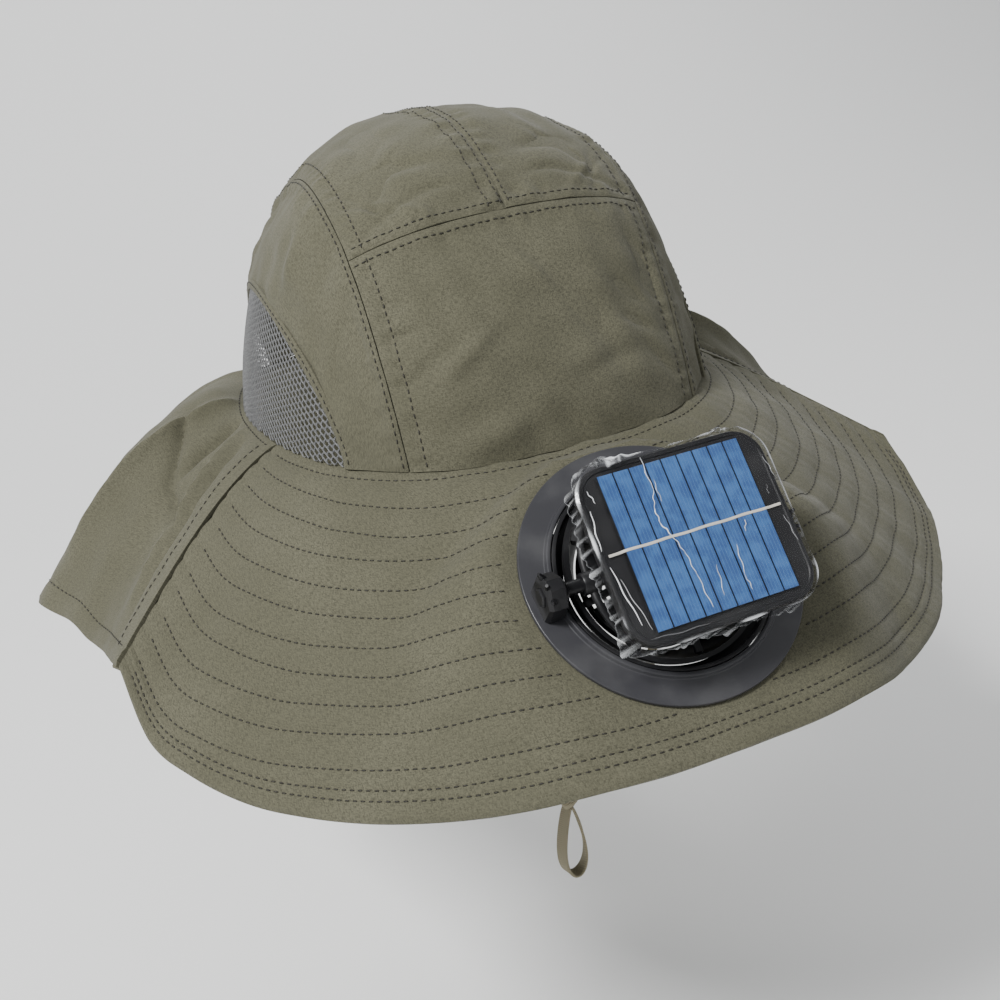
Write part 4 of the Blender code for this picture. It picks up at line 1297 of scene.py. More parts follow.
        for row in range(-reach, reach + 1):
            for column in range(-reach, reach + 1):
                middle = np.array((column + 0.5 * (row % 2), row + 0.0))
                along, height = middle * size @ turn
                share = min(abs(along) / (self.vent_length / 2), 1.0)
                top = self.vent_height * (1 - share**2) ** self.vent_power
                if not 0.3 * self.net_rise < height < top:
                    continue
                rim = list(range(len(spots), len(spots) + 8))
                spots += [(*((middle + c) * size @ turn), 0) for c in hole]
                for level, flip in ((1, 1), (-1, -1)):
                    edge = [vertex(middle + c, level) for c in corner]
                    for k in range(8):
                        m = (k + 1) % 8
                        faces.append((edge[k], edge[m], rim[m], rim[k])[::flip])
        flat = np.array(spots)
        height = np.clip(flat[:, 1], 0.0, None)
        across = self.form.side_reach(height, flat[:, 0]) * side.value
        points = self.dented(np.stack((across, flat[:, 0], height), axis=-1))
        points[:, 0] += side.value * (flat[:, 2] * self.strand - 0.5 * self.form.cloth)
        return points, faces if side is Side.LEFT else [f[::-1] for f in faces]

    def row_near(self, name: str, edge: str, distance: float, seed: int = 0) -> tuple[Array, Array]:
        """Line on a panel at a distance from one of its edges.

        Args:
            name: The panel's node.
            edge: first, last, start or end.
            distance: Distance from that edge in metres.
            seed: Not used.

        Returns:
            Points of the line and the cloth's normals.
        """
        outer, normal = self.outer[name]
        centre = np.array((0.0, 0.0, self.form.height * 0.4))
        normal = normal * np.where(np.sum(normal * (outer - centre), axis=2, keepdims=True) > 0, 1.0, -1.0)
        turned = edge in ("first", "last")
        grid = outer.swapaxes(0, 1) if turned else outer
        normals = normal.swapaxes(0, 1) if turned else normal
        if edge in ("last", "end"):
            grid, normals = grid[:, ::-1], normals[:, ::-1]
        step = np.linalg.norm(np.diff(grid, axis=1), axis=2)
        reach = np.concatenate((np.zeros((len(grid), 1)), np.cumsum(step, axis=1)), axis=1)
        line, up = [], []
        for i in range(len(grid)):
            line.append([np.interp(distance, reach[i], grid[i, :, k]) for k in range(3)])
            up.append([np.interp(distance, reach[i], normals[i, :, k]) for k in range(3)])
        return np.array(line), unit(np.array(up))

    def sew(self) -> None:
        """Stitch rows along both sides of the seams."""
        close, near, wide = 1.5 * MILLIMETRE, 3.1 * MILLIMETRE, 6.2 * MILLIMETRE
        rows = [("crown_front", "end", near), ("crown_back", "end", near)]
        for edge in ("first", "last"):
            rows += [("crown_front", edge, wide), ("crown_back", edge, wide)]
        for side in Side:
            top = f"crown_top_{side.word}"
            rows += [(top, "first", close), (top, "start", near), (top, "end", near), (top, "last", wide)]
            rows.append((f"crown_side_{side.word}", "end", close))
        rows.append(("crown_top_right", "first", wide))
        for name, edge, distance in rows:
            self.stitches.add_row(*self.row_near(name, edge, distance))
        piece = self.stitches.piece("crown_stitches", self.palette["thread"])
        place_piece(piece, Body.HAT, Slot.CLOTH)


# Fan frames


@dataclass
class FanPlace:
    """Where the fan's mounting and its tilting unit are."""

    centre: tuple[float, float, float] = (0.0, -0.1530, -0.0248)
    tilt: float = radians(38.5)
    pivot_height: float = 0.0065
    lean: float = radians(12.5)

    def ring(self) -> Matrix:
        """Frame of the flange: its top face is the plane z = 0."""
        return Matrix.Translation(self.centre) @ Matrix.Rotation(self.tilt, 4, "X")

    def unit(self) -> Matrix:
        """Frame of the tilting unit: X through its origin is the pivot axis."""
        lift = Matrix.Translation((0.0, 0.0, self.pivot_height))
        return self.ring() @ lift @ Matrix.Rotation(self.lean, 4, "X")


# Brim and neck flap


class BrimRow(NamedTuple):
    """Outer edge and section of the brim, as shares of its half span, reach and drop."""

    along: float
    across: float
    ahead: float
    drop: float
    lift: float
    push: float


class StitchRow(NamedTuple):
    """Reach of a row of stitches at the front and at the slit, as shares from crown to edge."""

    front: float
    slit: float


@dataclass
class Brim:
    """The stitched brim, a stiff sheet from slit to slit across the front."""

    palette: Palette
    crown: CrownForm
    fan: FanPlace
    span: float = 0.316
    reach: float = 0.2005
    drop: float = 0.076
    slit: float = radians(77.0)
    cloth: float = 0.0018
    ledge: float = 0.0075
    rise: float = 0.3
    flange_radius: float = 0.045
    flange_thickness: float = 0.0016
    fit_gap: float = 0.0003
    seam_gap: float = 0.0003
    hole: float = 0.0385
    clearing: float = 0.120
    steps: int = 300
    row_cells: int = 5
    puff: float = 0.30 * MILLIMETRE
    groove: float = 0.28 * MILLIMETRE
    rows: tuple[StitchRow, ...] = (
        StitchRow(0.0500, 0.0500), StitchRow(0.1625, 0.1250), StitchRow(0.2600, 0.2175),
        StitchRow(0.3375, 0.3150), StitchRow(0.4250, 0.4075), StitchRow(0.5000, 0.4975),
        StitchRow(0.5800, 0.5925), StitchRow(0.6550, 0.6650), StitchRow(0.7250, 0.7575),
        StitchRow(0.7925, 0.8350), StitchRow(0.8775, 0.9150), StitchRow(0.9250, 0.9450),
        StitchRow(0.9500, 0.9620),
    )
    table: tuple[BrimRow, ...] = (
        BrimRow(0.00, 0.000, 1.000, 0.800, 0.110, 0.000),
        BrimRow(0.09, 0.190, 0.985, 0.835, 0.110, 0.000),
        BrimRow(0.18, 0.367, 0.938, 0.892, 0.105, 0.000),
        BrimRow(0.26, 0.488, 0.882, 0.935, 0.100, 0.000),
        BrimRow(0.33, 0.580, 0.834, 0.960, 0.095, 0.000),
        BrimRow(0.42, 0.670, 0.776, 0.982, 0.090, 0.000),
        BrimRow(0.52, 0.758, 0.703, 1.000, 0.085, 0.010),
        BrimRow(0.64, 0.844, 0.626, 0.991, 0.075, 0.020),
        BrimRow(0.78, 0.926, 0.532, 0.932, 0.060, 0.045),
        BrimRow(0.90, 0.978, 0.442, 0.850, 0.045, 0.075),
        BrimRow(1.00, 0.990, 0.329, 0.637, 0.035, 0.105),
    )

    def surface(self, side: Array, reach: Array) -> Array:
        """Points of the brim's upper face.

        Args:
            side: From -1 at the right slit to 1 at the left one.
            reach: From 0 at the crown to 1 at the outer edge.

        Returns:
            The points.
        """
        side, reach = np.broadcast_arrays(np.asarray(side, float), np.asarray(reach, float))
        row = smooth_table(self.table, np.abs(side))
        inner = self.crown.base(side * self.slit, self.crown.cloth)
        inner[..., 2] = -self.seam_gap
        across = np.sign(side) * row["across"] * self.span / 2
        outer = np.stack((across, -row["ahead"] * self.reach, -row["drop"] * self.drop), axis=-1)
        point = inner + (outer - inner) * reach[..., None]
        arch = np.sin(pi * np.maximum(reach, 0.0) ** 0.75)
        point[..., 2] += row["lift"] * self.drop * arch
        point[..., 1] += row["push"] * self.drop * arch
        point = self.seated(point)
        away = np.linalg.norm(point[..., :2] - inner[..., :2], axis=-1)
        limit = -self.seam_gap + np.maximum(away - self.ledge, 0.0) * self.rise
        point[..., 2] = np.minimum(point[..., 2], limit)
        return point

    def seated(self, point: Array) -> Array:
        """Points moved onto the plane under the flange, near the flange."""
        offset, upslope, normal = self.from_ring(point)
        along = offset @ upslope
        radius = np.hypot(offset[..., 0], along)
        full = self.flange_radius * 1.07
        narrow = ease(along / self.flange_radius) * bell(offset[..., 0], self.clearing)
        fade = self.flange_radius * (0.9 - 0.8 * narrow)
        weight = 1 - ease((radius - full) / fade)
        seat = -(self.flange_thickness + self.fit_gap)
        return point + normal * ((seat - offset @ normal) * weight)[..., None]

    def from_ring(self, point: Array) -> tuple[Array, Array, Array]:
        """Offset of points from the flange's centre, with its up-slope direction and normal."""
        tilt = self.fan.tilt
        upslope = np.array((0.0, cos(tilt), sin(tilt)))
        normal = np.array((0.0, -sin(tilt), cos(tilt)))
        return point - np.array(self.fan.centre), upslope, normal

    def reaches(self, side: Array) -> tuple[Array, list[int]]:
        """Reach of each grid point, with a grid column on every stitch row.

        Args:
            side: Places from slit to slit, one for each grid row.

        Returns:
            The reaches and the columns of the stitch rows.
        """
        turned = ease((np.abs(side) - 0.35) / 0.65)
        marks = [row.front + (row.slit - row.front) * turned for row in self.rows]
        marks = [np.zeros_like(side), *marks, np.ones_like(side)]
        parts, columns = [], []
        for low, high in zip(marks, marks[1:]):
            cells = self.row_cells if (high - low).max() > 0.03 else 3
            parts += [low + (high - low) * k / cells for k in range(cells)]
            columns.append(len(parts))
        return np.stack((*parts, marks[-1]), axis=1), columns[:-1]

    def relief(self, grid: Array, reach: Array, columns: Sequence[int]) -> Array:
        """Height of the brim's quilting over its plain surface.

        Args:
            grid: Points of the plain surface.
            reach: Reach of each point.
            columns: Grid columns of the stitch rows.

        Returns:
            The height of each point.
        """
        nearest = np.full(reach.shape, 1.0)
        for column in columns:
            nearest = np.minimum(nearest, np.abs(reach - reach[:, column:column + 1]))
        distance = nearest * (self.reach - self.crown.front)
        height = self.puff * ease(distance / (4 * MILLIMETRE)) - self.groove * bell(distance, 0.6 * MILLIMETRE)
        height += 0.30 * MILLIMETRE * ripple(grid, 0.024, 7) + 0.12 * MILLIMETRE * ripple(grid, 0.007, 8)
        height += 0.25 * MILLIMETRE * ease((reach - self.rows[-2].front) / 0.01)
        return height - 0.5 * self.cloth * ease((reach - 0.990) / 0.010)

    def build(self) -> None:
        """Make the brim and its stitches."""
        side = np.linspace(-1, 1, self.steps + 1)
        reach, columns = self.reaches(side)
        grid = self.surface(side[:, None], reach)
        normal = grid_normals(grid)
        normal *= np.where(normal[..., 2:] > 0, 1.0, -1.0)
        offset, upslope, up = self.from_ring(grid)
        flat = np.stack((offset[..., 0], offset @ upslope), axis=-1)
        radius = np.linalg.norm(flat, axis=-1)
        near = np.abs(offset @ up) < self.hole
        within = (radius < self.hole) & near
        outwards = flat / np.maximum(radius, 1e-9)[..., None] * (self.hole - radius)[..., None]
        shift = outwards[..., :1] * np.array((1.0, 0.0, 0.0)) + outwards[..., 1:] * upslope
        corners = (within[:-1, :-1], within[:-1, 1:], within[1:, 1:], within[1:, :-1])
        kept = ~np.logical_and.reduce(corners)
        top = grid + normal * (self.relief(grid, reach, columns) * self.calm(radius, near))[..., None]
        bottom = grid - normal * self.cloth
        for face in (top, bottom):
            face += np.where(within[..., None], shift, 0.0)
        piece = sheet_piece("brim_cloth", top, bottom, self.palette["cloth"], kept, grid)
        place_piece(piece, Body.HAT, Slot.CLOTH, "brim")
        sewn = self.sew(top, bottom, normal, columns, radius, near)
        declare_sheet(grid)

    def calm(self, radius: Array, near: Array) -> Array:
        """Share of the relief that stays near the flange, where the brim is clamped flat."""
        return np.where(near, ease((radius - self.flange_radius - 1 * MILLIMETRE) / (5 * MILLIMETRE)), 1.0)

    def sew(
        self, top: Array, bottom: Array, normal: Array, columns: Sequence[int], radius: Array,
        near: Array,
    ) -> list[bpy.types.Object]:
        """Stitch the brim's rows on both faces, except under the flange.

        Args:
            top: Points of the upper face.
            bottom: Points of the lower face.
            normal: The cloth's normals.
            columns: Grid columns of the stitch rows.
            radius: Distance of each point from the fan's axis.
            near: Whether a point is near the fan's plane.

        Returns:
            The rows of the upper face and of the lower face.
        """
        made = []
        for face, sign, name in ((top, 1, "brim_stitches"), (bottom, -1, "brim_stitches_under")):
            thread = Stitching()
            clear = self.flange_radius + 0.6 * MILLIMETRE
            for column in columns:
                free = ~((radius[:, column] < clear) & near[:, column])
                free[:3] = free[-3:] = False
                for start, end in runs_of(free):
                    line = face[start:end, column]
                    thread.add_row(line, normal[start:end, column] * sign)
            piece = thread.piece(name, self.palette["thread"])
            made.append(place_piece(piece, Body.HAT, Slot.CLOTH))
        return made


def runs_of(free: Array) -> list[tuple[int, int]]:
    """First and past-the-last index of each run of true values."""
    marks = np.flatnonzero(np.diff(np.concatenate(([0], free.astype(int), [0]))))
    return [(int(a), int(b)) for a, b in zip(marks[::2], marks[1::2])]


class FlapRow(NamedTuple):
    """Outer edge and section of the neck flap, as shares of its half span, reach and drop."""

    along: float
    across: float
    behind: float
    drop: float
    lift: float


class Fold(NamedTuple):
    """A fold of the flap: its place from slit to back, height, half width and turn."""

    along: float
    height: float
    spread: float
    slant: float


class FoldLine(NamedTuple):
    """A sharp fold between two places (from slit to back, from root to edge), sizes in metres."""

    from_along: float
    from_reach: float
    to_along: float
    to_reach: float
    width: float
    height: float


@dataclass
class NeckFlap:
    """The hanging neck flap, from slit to slit round the back, with its hem."""

    palette: Palette
    brim: Brim
    span: float = 0.350
    back: float = 0.145
    drop: float = 0.120
    cloth: float = 0.0014
    slit_gap: float = 0.0020
    edge_share: float = 0.16
    hem: float = 0.060
    steps: int = 340
    rows: int = 62
    table: tuple[FlapRow, ...] = (
        FlapRow(0.00, 0.870, -0.400, 0.440, 0.000),
        FlapRow(0.12, 0.905, -0.180, 0.490, 0.040),
        FlapRow(0.25, 0.950, 0.040, 0.505, 0.090),
        FlapRow(0.38, 0.995, 0.210, 0.500, 0.170),
        FlapRow(0.50, 0.945, 0.480, 0.640, 0.180),
        FlapRow(0.64, 0.790, 0.730, 0.800, 0.130),
        FlapRow(0.78, 0.540, 0.900, 0.930, 0.070),
        FlapRow(0.90, 0.260, 0.980, 0.990, 0.060),
        FlapRow(1.00, 0.000, 1.000, 1.000, 0.060),
    )
    folds: tuple[Fold, ...] = (
        Fold(0.14, -0.030, 0.060, 0.06),
        Fold(0.27, 0.035, 0.055, -0.05),
        Fold(0.47, -0.040, 0.080, 0.04),
        Fold(0.72, 0.040, 0.090, 0.03),
        Fold(0.93, -0.030, 0.080, 0.00),
    )
    lines: tuple[FoldLine, ...] = (
        FoldLine(0.300, 0.02, 0.360, 0.80, 0.0050, 0.0045), FoldLine(0.330, 0.25, 0.224, 0.44, 0.0035, -0.0038),
        FoldLine(0.224, 0.44, 0.085, 0.52, 0.0032, -0.0036), FoldLine(0.200, 0.05, 0.215, 0.40, 0.0034, -0.0042),
        FoldLine(0.135, 0.04, 0.080, 0.80, 0.0040, 0.0038), FoldLine(0.105, 0.10, 0.055, 0.90, 0.0024, -0.0024),
        FoldLine(0.540, 0.05, 0.500, 0.85, 0.0060, 0.0042), FoldLine(0.700, 0.05, 0.760, 0.90, 0.0070, -0.0045),
        FoldLine(0.860, 0.05, 0.840, 0.90, 0.0070, 0.0040),
    )
    underlap: float = 5.0 * MILLIMETRE

    def open_surface(self, along: Array, reach: Array) -> Array:
        """Points on the left side, before the front edge is laid along the slit."""
        row = smooth_table(self.table, along)
        angle = self.brim.slit + (pi - self.brim.slit) * along
        inner = self.brim.crown.base(angle, self.brim.crown.cloth)
        inner[..., 2] = -self.brim.seam_gap
        across = row["across"] * self.span / 2
        outer = np.stack((across, row["behind"] * self.back, -row["drop"] * self.drop), axis=-1)
        point = inner + (outer - inner) * reach[..., None]
        point[..., 2] += row["lift"] * self.drop * np.sin(pi * np.maximum(reach, 0.0) ** 0.85)
        for fold in self.folds:
            crest = fold.along + fold.slant * reach
            point[..., 2] += fold.height * self.drop * bell(along - crest, fold.spread) * ease(reach)
        return point

    def slit_edge(self, reach: Array) -> Array:
        """Points of the front edge on the left, a gap behind the brim's slit."""
        edge = self.brim.surface(1.0, reach)
        root, tip = self.brim.surface(1.0, 0.0), self.brim.surface(1.0, 1.0)
        behind = np.array((root[1] - tip[1], tip[0] - root[0], 0.0))
        return edge + unit(behind) * self.slit_gap

    def surface(self, side: Array, reach: Array) -> Array:
        """Points of the upper face; side runs from -1 at the right slit to 1 at the left one."""
        side, reach = np.broadcast_arrays(np.asarray(side, float), np.asarray(reach, float))
        along = 1 - np.abs(side)
        point = self.open_surface(along, reach)
        shift = self.slit_edge(reach) - self.open_surface(np.zeros_like(along), reach)
        point = point + shift * (1 - ease(along / self.edge_share))[..., None]
        point[..., 0] *= np.where(side < 0, -1.0, 1.0)
        return point

    def build(self) -> None:
        """Make the flap and its stitches."""
        side = np.linspace(-1, 1, self.steps + 1)[:, None]
        reach = np.broadcast_to(np.linspace(0, 1, self.rows + 1)[None, :], (self.steps + 1, self.rows + 1))
        grid = self.surface(side, reach)
        normal = grid_normals(grid)
        normal *= np.where(normal[..., 2:] > 0, 1.0, -1.0)
        flat = arc_map(grid)
        along = 1 - np.abs(np.broadcast_to(side, reach.shape))
        fine = ease(reach / 0.15) * ease(along / 0.05) * 0.9
        lift = fine * 0.55 * MILLIMETRE * (ripple(grid, 0.040, 41) + 0.5 * ripple(grid, 0.016, 42))
        lift += self.hem_relief(reach)
        fold = self.fold_relief(along, reach, flat)
        top = grid + normal * (lift + fold)[..., None]
        bottom = grid + normal * (fold - self.cloth)[..., None]
        piece = sheet_piece("flap_cloth", top, bottom, self.palette["cloth"])
        place_piece(piece, Body.HAT, Slot.CLOTH, "neck_flap")
        sewn = [self.sew(top, bottom, normal, flat)] + [self.build_underlap(place) for place in Side]
        declare_sheet(grid)

    def fold_relief(self, along: Array, reach: Array, flat: Array) -> Array:
        """Height of the sharp folds.

        Args:
            along: Place of each grid point from slit to back.
            reach: Place of each grid point from root to edge.
            flat: Flat place of each grid point in metres.

        Returns:
            The height of each point.
        """
        total = np.zeros(reach.shape)
        wide = np.ptp(flat[..., 0], axis=0).mean() / 2
        long = flat[..., 1].max(axis=1).mean()
        spot = np.stack((along * wide, reach * long), axis=-1)
        for line in self.lines:
            start = np.array((line.from_along * wide, line.from_reach * long))
            run = np.array((line.to_along * wide, line.to_reach * long)) - start
            share = np.clip((spot - start) @ run / (run @ run), 0, 1)
            away = np.linalg.norm(spot - start - share[..., None] * run, axis=-1)
            fading = 1 - 0.6 * np.abs(2 * share - 1) ** 3
            total += line.height * fading * np.exp(-np.sqrt((away / line.width) ** 2 + 0.04) + 0.2)
        return total * ease(reach / 0.08) * ease((1 - reach) / 0.06) * ease(along / 0.03)

    def build_underlap(self, side: Side) -> bpy.types.Object:
        """Make the narrow strip of the flap that passes under the brim's slit edge."""
        reach = np.linspace(0.0, 0.985, 72)[:, None]
        edge = self.brim.surface(float(side.value), reach)
        behind = unit(self.slit_edge(np.array([0.5])) - self.brim.surface(1.0, np.array([0.5])))[0]
        behind = behind * (side.value, 1, 1)
        share = np.linspace(-1, 1, 7)[None, :, None]
        top = edge + behind * (0.5 * self.slit_gap + share * self.underlap)
        top = top - np.array((0.0, 0.0, self.brim.cloth + 0.9 * MILLIMETRE))
        bottom = top - np.array((0.0, 0.0, 0.8 * MILLIMETRE))
        piece = sheet_piece(f"slit_underlap_{side.word}", top, bottom, self.palette["cloth"])
        return place_piece(piece, Body.HAT, Slot.CLOTH)

    def hem_relief(self, reach: Array) -> Array:
        """Height of the folded hem over the plain cloth."""
        start = 1 - self.hem
        height = 0.35 * MILLIMETRE * ease((reach - start) / 0.012)
        height -= 0.25 * MILLIMETRE * bell(reach - start, 0.006)
        return height - 0.8 * MILLIMETRE * ease((reach - 0.992) / 0.008)

    def sew(self, top: Array, bottom: Array, normal: Array, flat: Array) -> bpy.types.Object:
        """Stitch the hem and the root on both faces.

        Args:
            top: Points of the upper face.
            bottom: Points of the lower face.
            normal: The cloth's normals.
            flat: Flat place of each point.

        Returns:
            The rows.
        """
        thread = Stitching()
        rows = top.shape[1] - 1
        for share in (0.03, 1 - self.hem):
            column = int(round(share * rows))
            for face, sign in ((top, 1), (bottom, -1)):
                thread.add_row(face[2:-2, column], normal[2:-2, column] * sign)
        edge = self.slit_columns(flat)
        for column in edge:
            for face, sign in ((top, 1), (bottom, -1)):
                thread.add_row(face[column, 2:-2], normal[column, 2:-2] * sign)
        piece = thread.piece("flap_stitches", self.palette["thread"])
        return place_piece(piece, Body.HAT, Slot.CLOTH)

    def slit_columns(self, flat: Array) -> tuple[int, int]:
        """Grid columns of the stitch row beside each slit, a hem's width in."""
        width = 7 * MILLIMETRE
        middle = flat[:, flat.shape[1] // 2, 0]
        return (
            int(np.argmin(np.abs(middle - middle[0] - width))),
            int(np.argmin(np.abs(middle[-1] - middle - width))),
        )


# Fan, panel and chin tie


Mesh = tuple[Array, list[tuple[int, ...]]]


def loft(rings: Sequence[Array]) -> Mesh:
    """Closed solid through rings of points.

    Args:
        rings: Rings with equal numbers of points, in order.

    Returns:
        Points and faces, with both ends capped.
    """
    count = len(rings[0])
    faces = [tuple(range(count)), tuple((len(rings) - 1) * count + i for i in range(count))[::-1]]
    for level in range(len(rings) - 1):
        for i in range(count):
            a, b = level * count + i, level * count + (i + 1) % count
            faces.append((a, a + count, b + count, b))
    points = np.concatenate([np.asarray(ring, float) for ring in rings])
    return points, facing_out(points, faces)


def bar(low: Sequence[float], high: Sequence[float], bevel: float, turn: float = 0.0) -> Mesh:
    """Box with bevelled edges.

    Args:
        low: Lowest corner.
        high: Highest corner.
        bevel: Width of the bevel.
        turn: Turn round Z, in radians.

    Returns:
        Points and faces.
    """
    rings = []
    for x, inset in ((low[0], 1), (low[0] + bevel, 0), (high[0] - bevel, 0), (high[0], 1)):
        y0, y1 = low[1] + inset * bevel, high[1] - inset * bevel
        z0, z1 = low[2] + inset * bevel, high[2] - inset * bevel
        cut = bevel * 0.8
        rings.append(np.array((
            (x, y0 + cut, z0), (x, y1 - cut, z0), (x, y1, z0 + cut), (x, y1, z1 - cut),
            (x, y1 - cut, z1), (x, y0 + cut, z1), (x, y0, z1 - cut), (x, y0, z0 + cut),
        )))
    points, faces = loft(rings)
    return moved(points, Matrix.Rotation(turn, 4, "Z")), faces


def rounded_outline(width: float, length: float, corner: float, steps: int) -> Array:
    """Points of a rectangle with round corners, centred on the origin."""
    points = []
    for number, (sx, sy) in enumerate(((1, 1), (-1, 1), (-1, -1), (1, -1))):
        middle = np.array((sx * (width / 2 - corner), sy * (length / 2 - corner)))
        for i in range(steps + 1):
            angle = pi / 2 * (number + i / steps)
            points.append(middle + corner * np.array((cos(angle), sin(angle))))
    return np.array(points)


def at_height(outline: Array, height: float) -> Array:
    """Plane points lifted to a height."""
    return np.column_stack((outline, np.full(len(outline), height)))


@dataclass
class FanSizes:
    """Sizes that the fan's parts share."""

    place: FanPlace = field(default_factory=FanPlace)
    flange_radius: float = 0.045
    flange_thickness: float = 0.0016
    opening: float = 0.035
    lip_width: float = 0.0014
    lip_height: float = 0.0016
    tube_depth: float = 0.008
    collar_wall: float = 0.0013
    collar_depth: float = 0.0072
    collar_clearance: float = 0.0011
    retainer_width: float = 0.0048
    brim_cloth: float = 0.0018
    fit_gap: float = 0.0003
    tilt_gap: float = 0.0014
    housing_wall: float = 0.0015
    housing_top: float = -0.0028
    housing_bottom: float = -0.0190
    shaft_radius: float = 0.0022
    shaft_reach: float = 0.0405
    hub_radius: float = 0.0105
    hub_top: float = 0.0032
    spoke_depth: float = 0.0026
    deck_thickness: float = 0.0009
    motor_radius: float = 0.0085
    motor_length: float = 0.0072
    steps: int = 144

    def sphere(self, height: float, inset: float = 0.0) -> float:
        """Radius of the housing's outer sphere at a height over the pivot axis."""
        radius = self.opening - self.fit_gap - self.collar_wall - self.tilt_gap - inset
        return sqrt(radius**2 - height**2)

    @property
    def motor_top(self) -> float:
        """Height of the motor's top over the pivot axis."""
        return self.housing_top - self.spoke_depth - self.fit_gap


@dataclass
class FanMount:
    """Flange, collar, retaining ring and the knobs that hold the pivot shafts."""

    palette: Palette
    sizes: FanSizes
    knob_start: float = 0.0342
    knob_end: float = 0.0425
    knob_size: float = 0.0124
    prong: float = 0.9 * MILLIMETRE

    def turned(self, name: str, profile: Sequence[tuple[float, float]], look: str, radius: float) -> None:
        """Make a turned ring in the flange's frame and let it stand for the node of its name.

        Args:
            name: The CAD node.
            profile: Its closed profile.
            look: Its material.
            radius: Rounding of the profile's corners.
        """
        points, faces = lathe(rounded(profile, radius), self.sizes.steps)
        points = moved(points, self.sizes.place.ring())
        piece = make_piece(f"{name}_moulding", points, facing_out(points, faces), self.palette[look])
        place_piece(piece, Body.HAT, Slot.GREY if look == "grey" else Slot.BLACK, name)

    def build(self) -> None:
        """Make the mounting."""
        s = self.sizes
        tube, outside = s.opening + s.lip_width, s.opening - s.fit_gap
        edge = s.flange_radius
        self.turned("fan_flange", [
            (s.opening, -s.tube_depth), (tube, -s.tube_depth), (tube, -s.flange_thickness),
            (edge, -s.flange_thickness), (edge, 0.0), (tube + 0.0004, 0.0),
            (tube, s.lip_height), (s.opening, s.lip_height),
        ], "grey", 0.45 * MILLIMETRE)
        shelf = s.collar_wall - s.collar_depth
        lip = s.sphere(shelf - s.place.pivot_height) + 0.2 * s.collar_clearance
        wall = outside - s.collar_wall
        self.turned("fan_collar", [
            (lip, -s.collar_depth), (outside, -s.collar_depth), (outside, s.lip_height * 0.8),
            (wall, s.lip_height * 0.8), (wall, -0.0010), (wall - 0.0005, -0.0013),
            (wall - 0.0005, -0.0019), (wall, -0.0022), (wall, shelf), (lip, shelf),
        ], "black", 0.2 * MILLIMETRE)
        top = -(s.flange_thickness + s.brim_cloth + 2 * s.fit_gap)
        hole = tube + s.fit_gap
        low = top - s.flange_thickness
        self.turned("retaining_ring", [
            (hole, low), (hole + s.retainer_width, low), (hole + s.retainer_width, top), (hole, top),
        ], "black", 0.4 * MILLIMETRE)
        for side in Side:
            self.build_knob(side)

    def build_knob(self, side: Side) -> None:
        """Make one knob: an angular block with a boss, a screw head and three prongs."""
        s = self.sizes
        half, cut, foot = self.knob_size / 2, self.knob_size * 0.29, s.fit_gap - s.place.pivot_height
        outline = np.array((
            (half, cut / 2), (cut / 2, half), (-cut / 2, half), (-half, cut / 2),
            (-half * 0.98, foot), (half * 0.98, foot),
        ))
        start, end = self.knob_start + 2.2 * MILLIMETRE, self.knob_end
        stations = ((start, 0.90), (start + 0.0006, 1.0), (end - 0.0009, 1.0), (end, 0.84))
        middle = np.array((0.0, foot))
        rings = []
        for x, share in stations:
            ring = middle + (outline - middle) * share
            rings.append(np.column_stack((np.full(len(ring), x), ring)))
        reach = np.array((0.0, 1.0, 0.0))
        parts = [loft(rings)]
        boss = np.array([(x, 0.0, 0.0) for x in (start - 0.0012, start - 0.0010, start + 0.001)])
        parts.append(tube(boss, np.array((0.0034, 0.0038, 0.0038)), 24))
        head = np.array([(x, 0.0, 0.0) for x in (end - 0.001, end + 0.0006, end + 0.0010)])
        parts.append(tube(head, np.array((0.0031, 0.0031, 0.0025)), 6))
        for spot in (-1, 0, 1):
            foot_point = np.array((end - 0.0016, 0.0, 0.0)) + reach * spot * half * 0.62
            tip = foot_point + np.array((0.0016, spot * 0.0012, half * (1.16 - 0.30 * abs(spot))))
            base = foot_point + np.array((0.0, 0.0, half * 0.55))
            parts.append(tube(np.array((base, (base + tip) / 2, tip)), np.array((1.3, 1.0, 0.6)) * self.prong, 6))
        points, faces = joined(parts)
        points[:, 0] *= side.value
        points[:, 2] += s.place.pivot_height
        if side is Side.RIGHT:
            faces = [face[::-1] for face in faces]
        points = moved(points, s.place.ring())
        name = f"pivot_block_{side.word}"
        piece = make_piece(f"{name}_moulding", points, faces, self.palette["black"], sharp=radians(25))
        place_piece(piece, Body.HAT, Slot.BLACK, name)


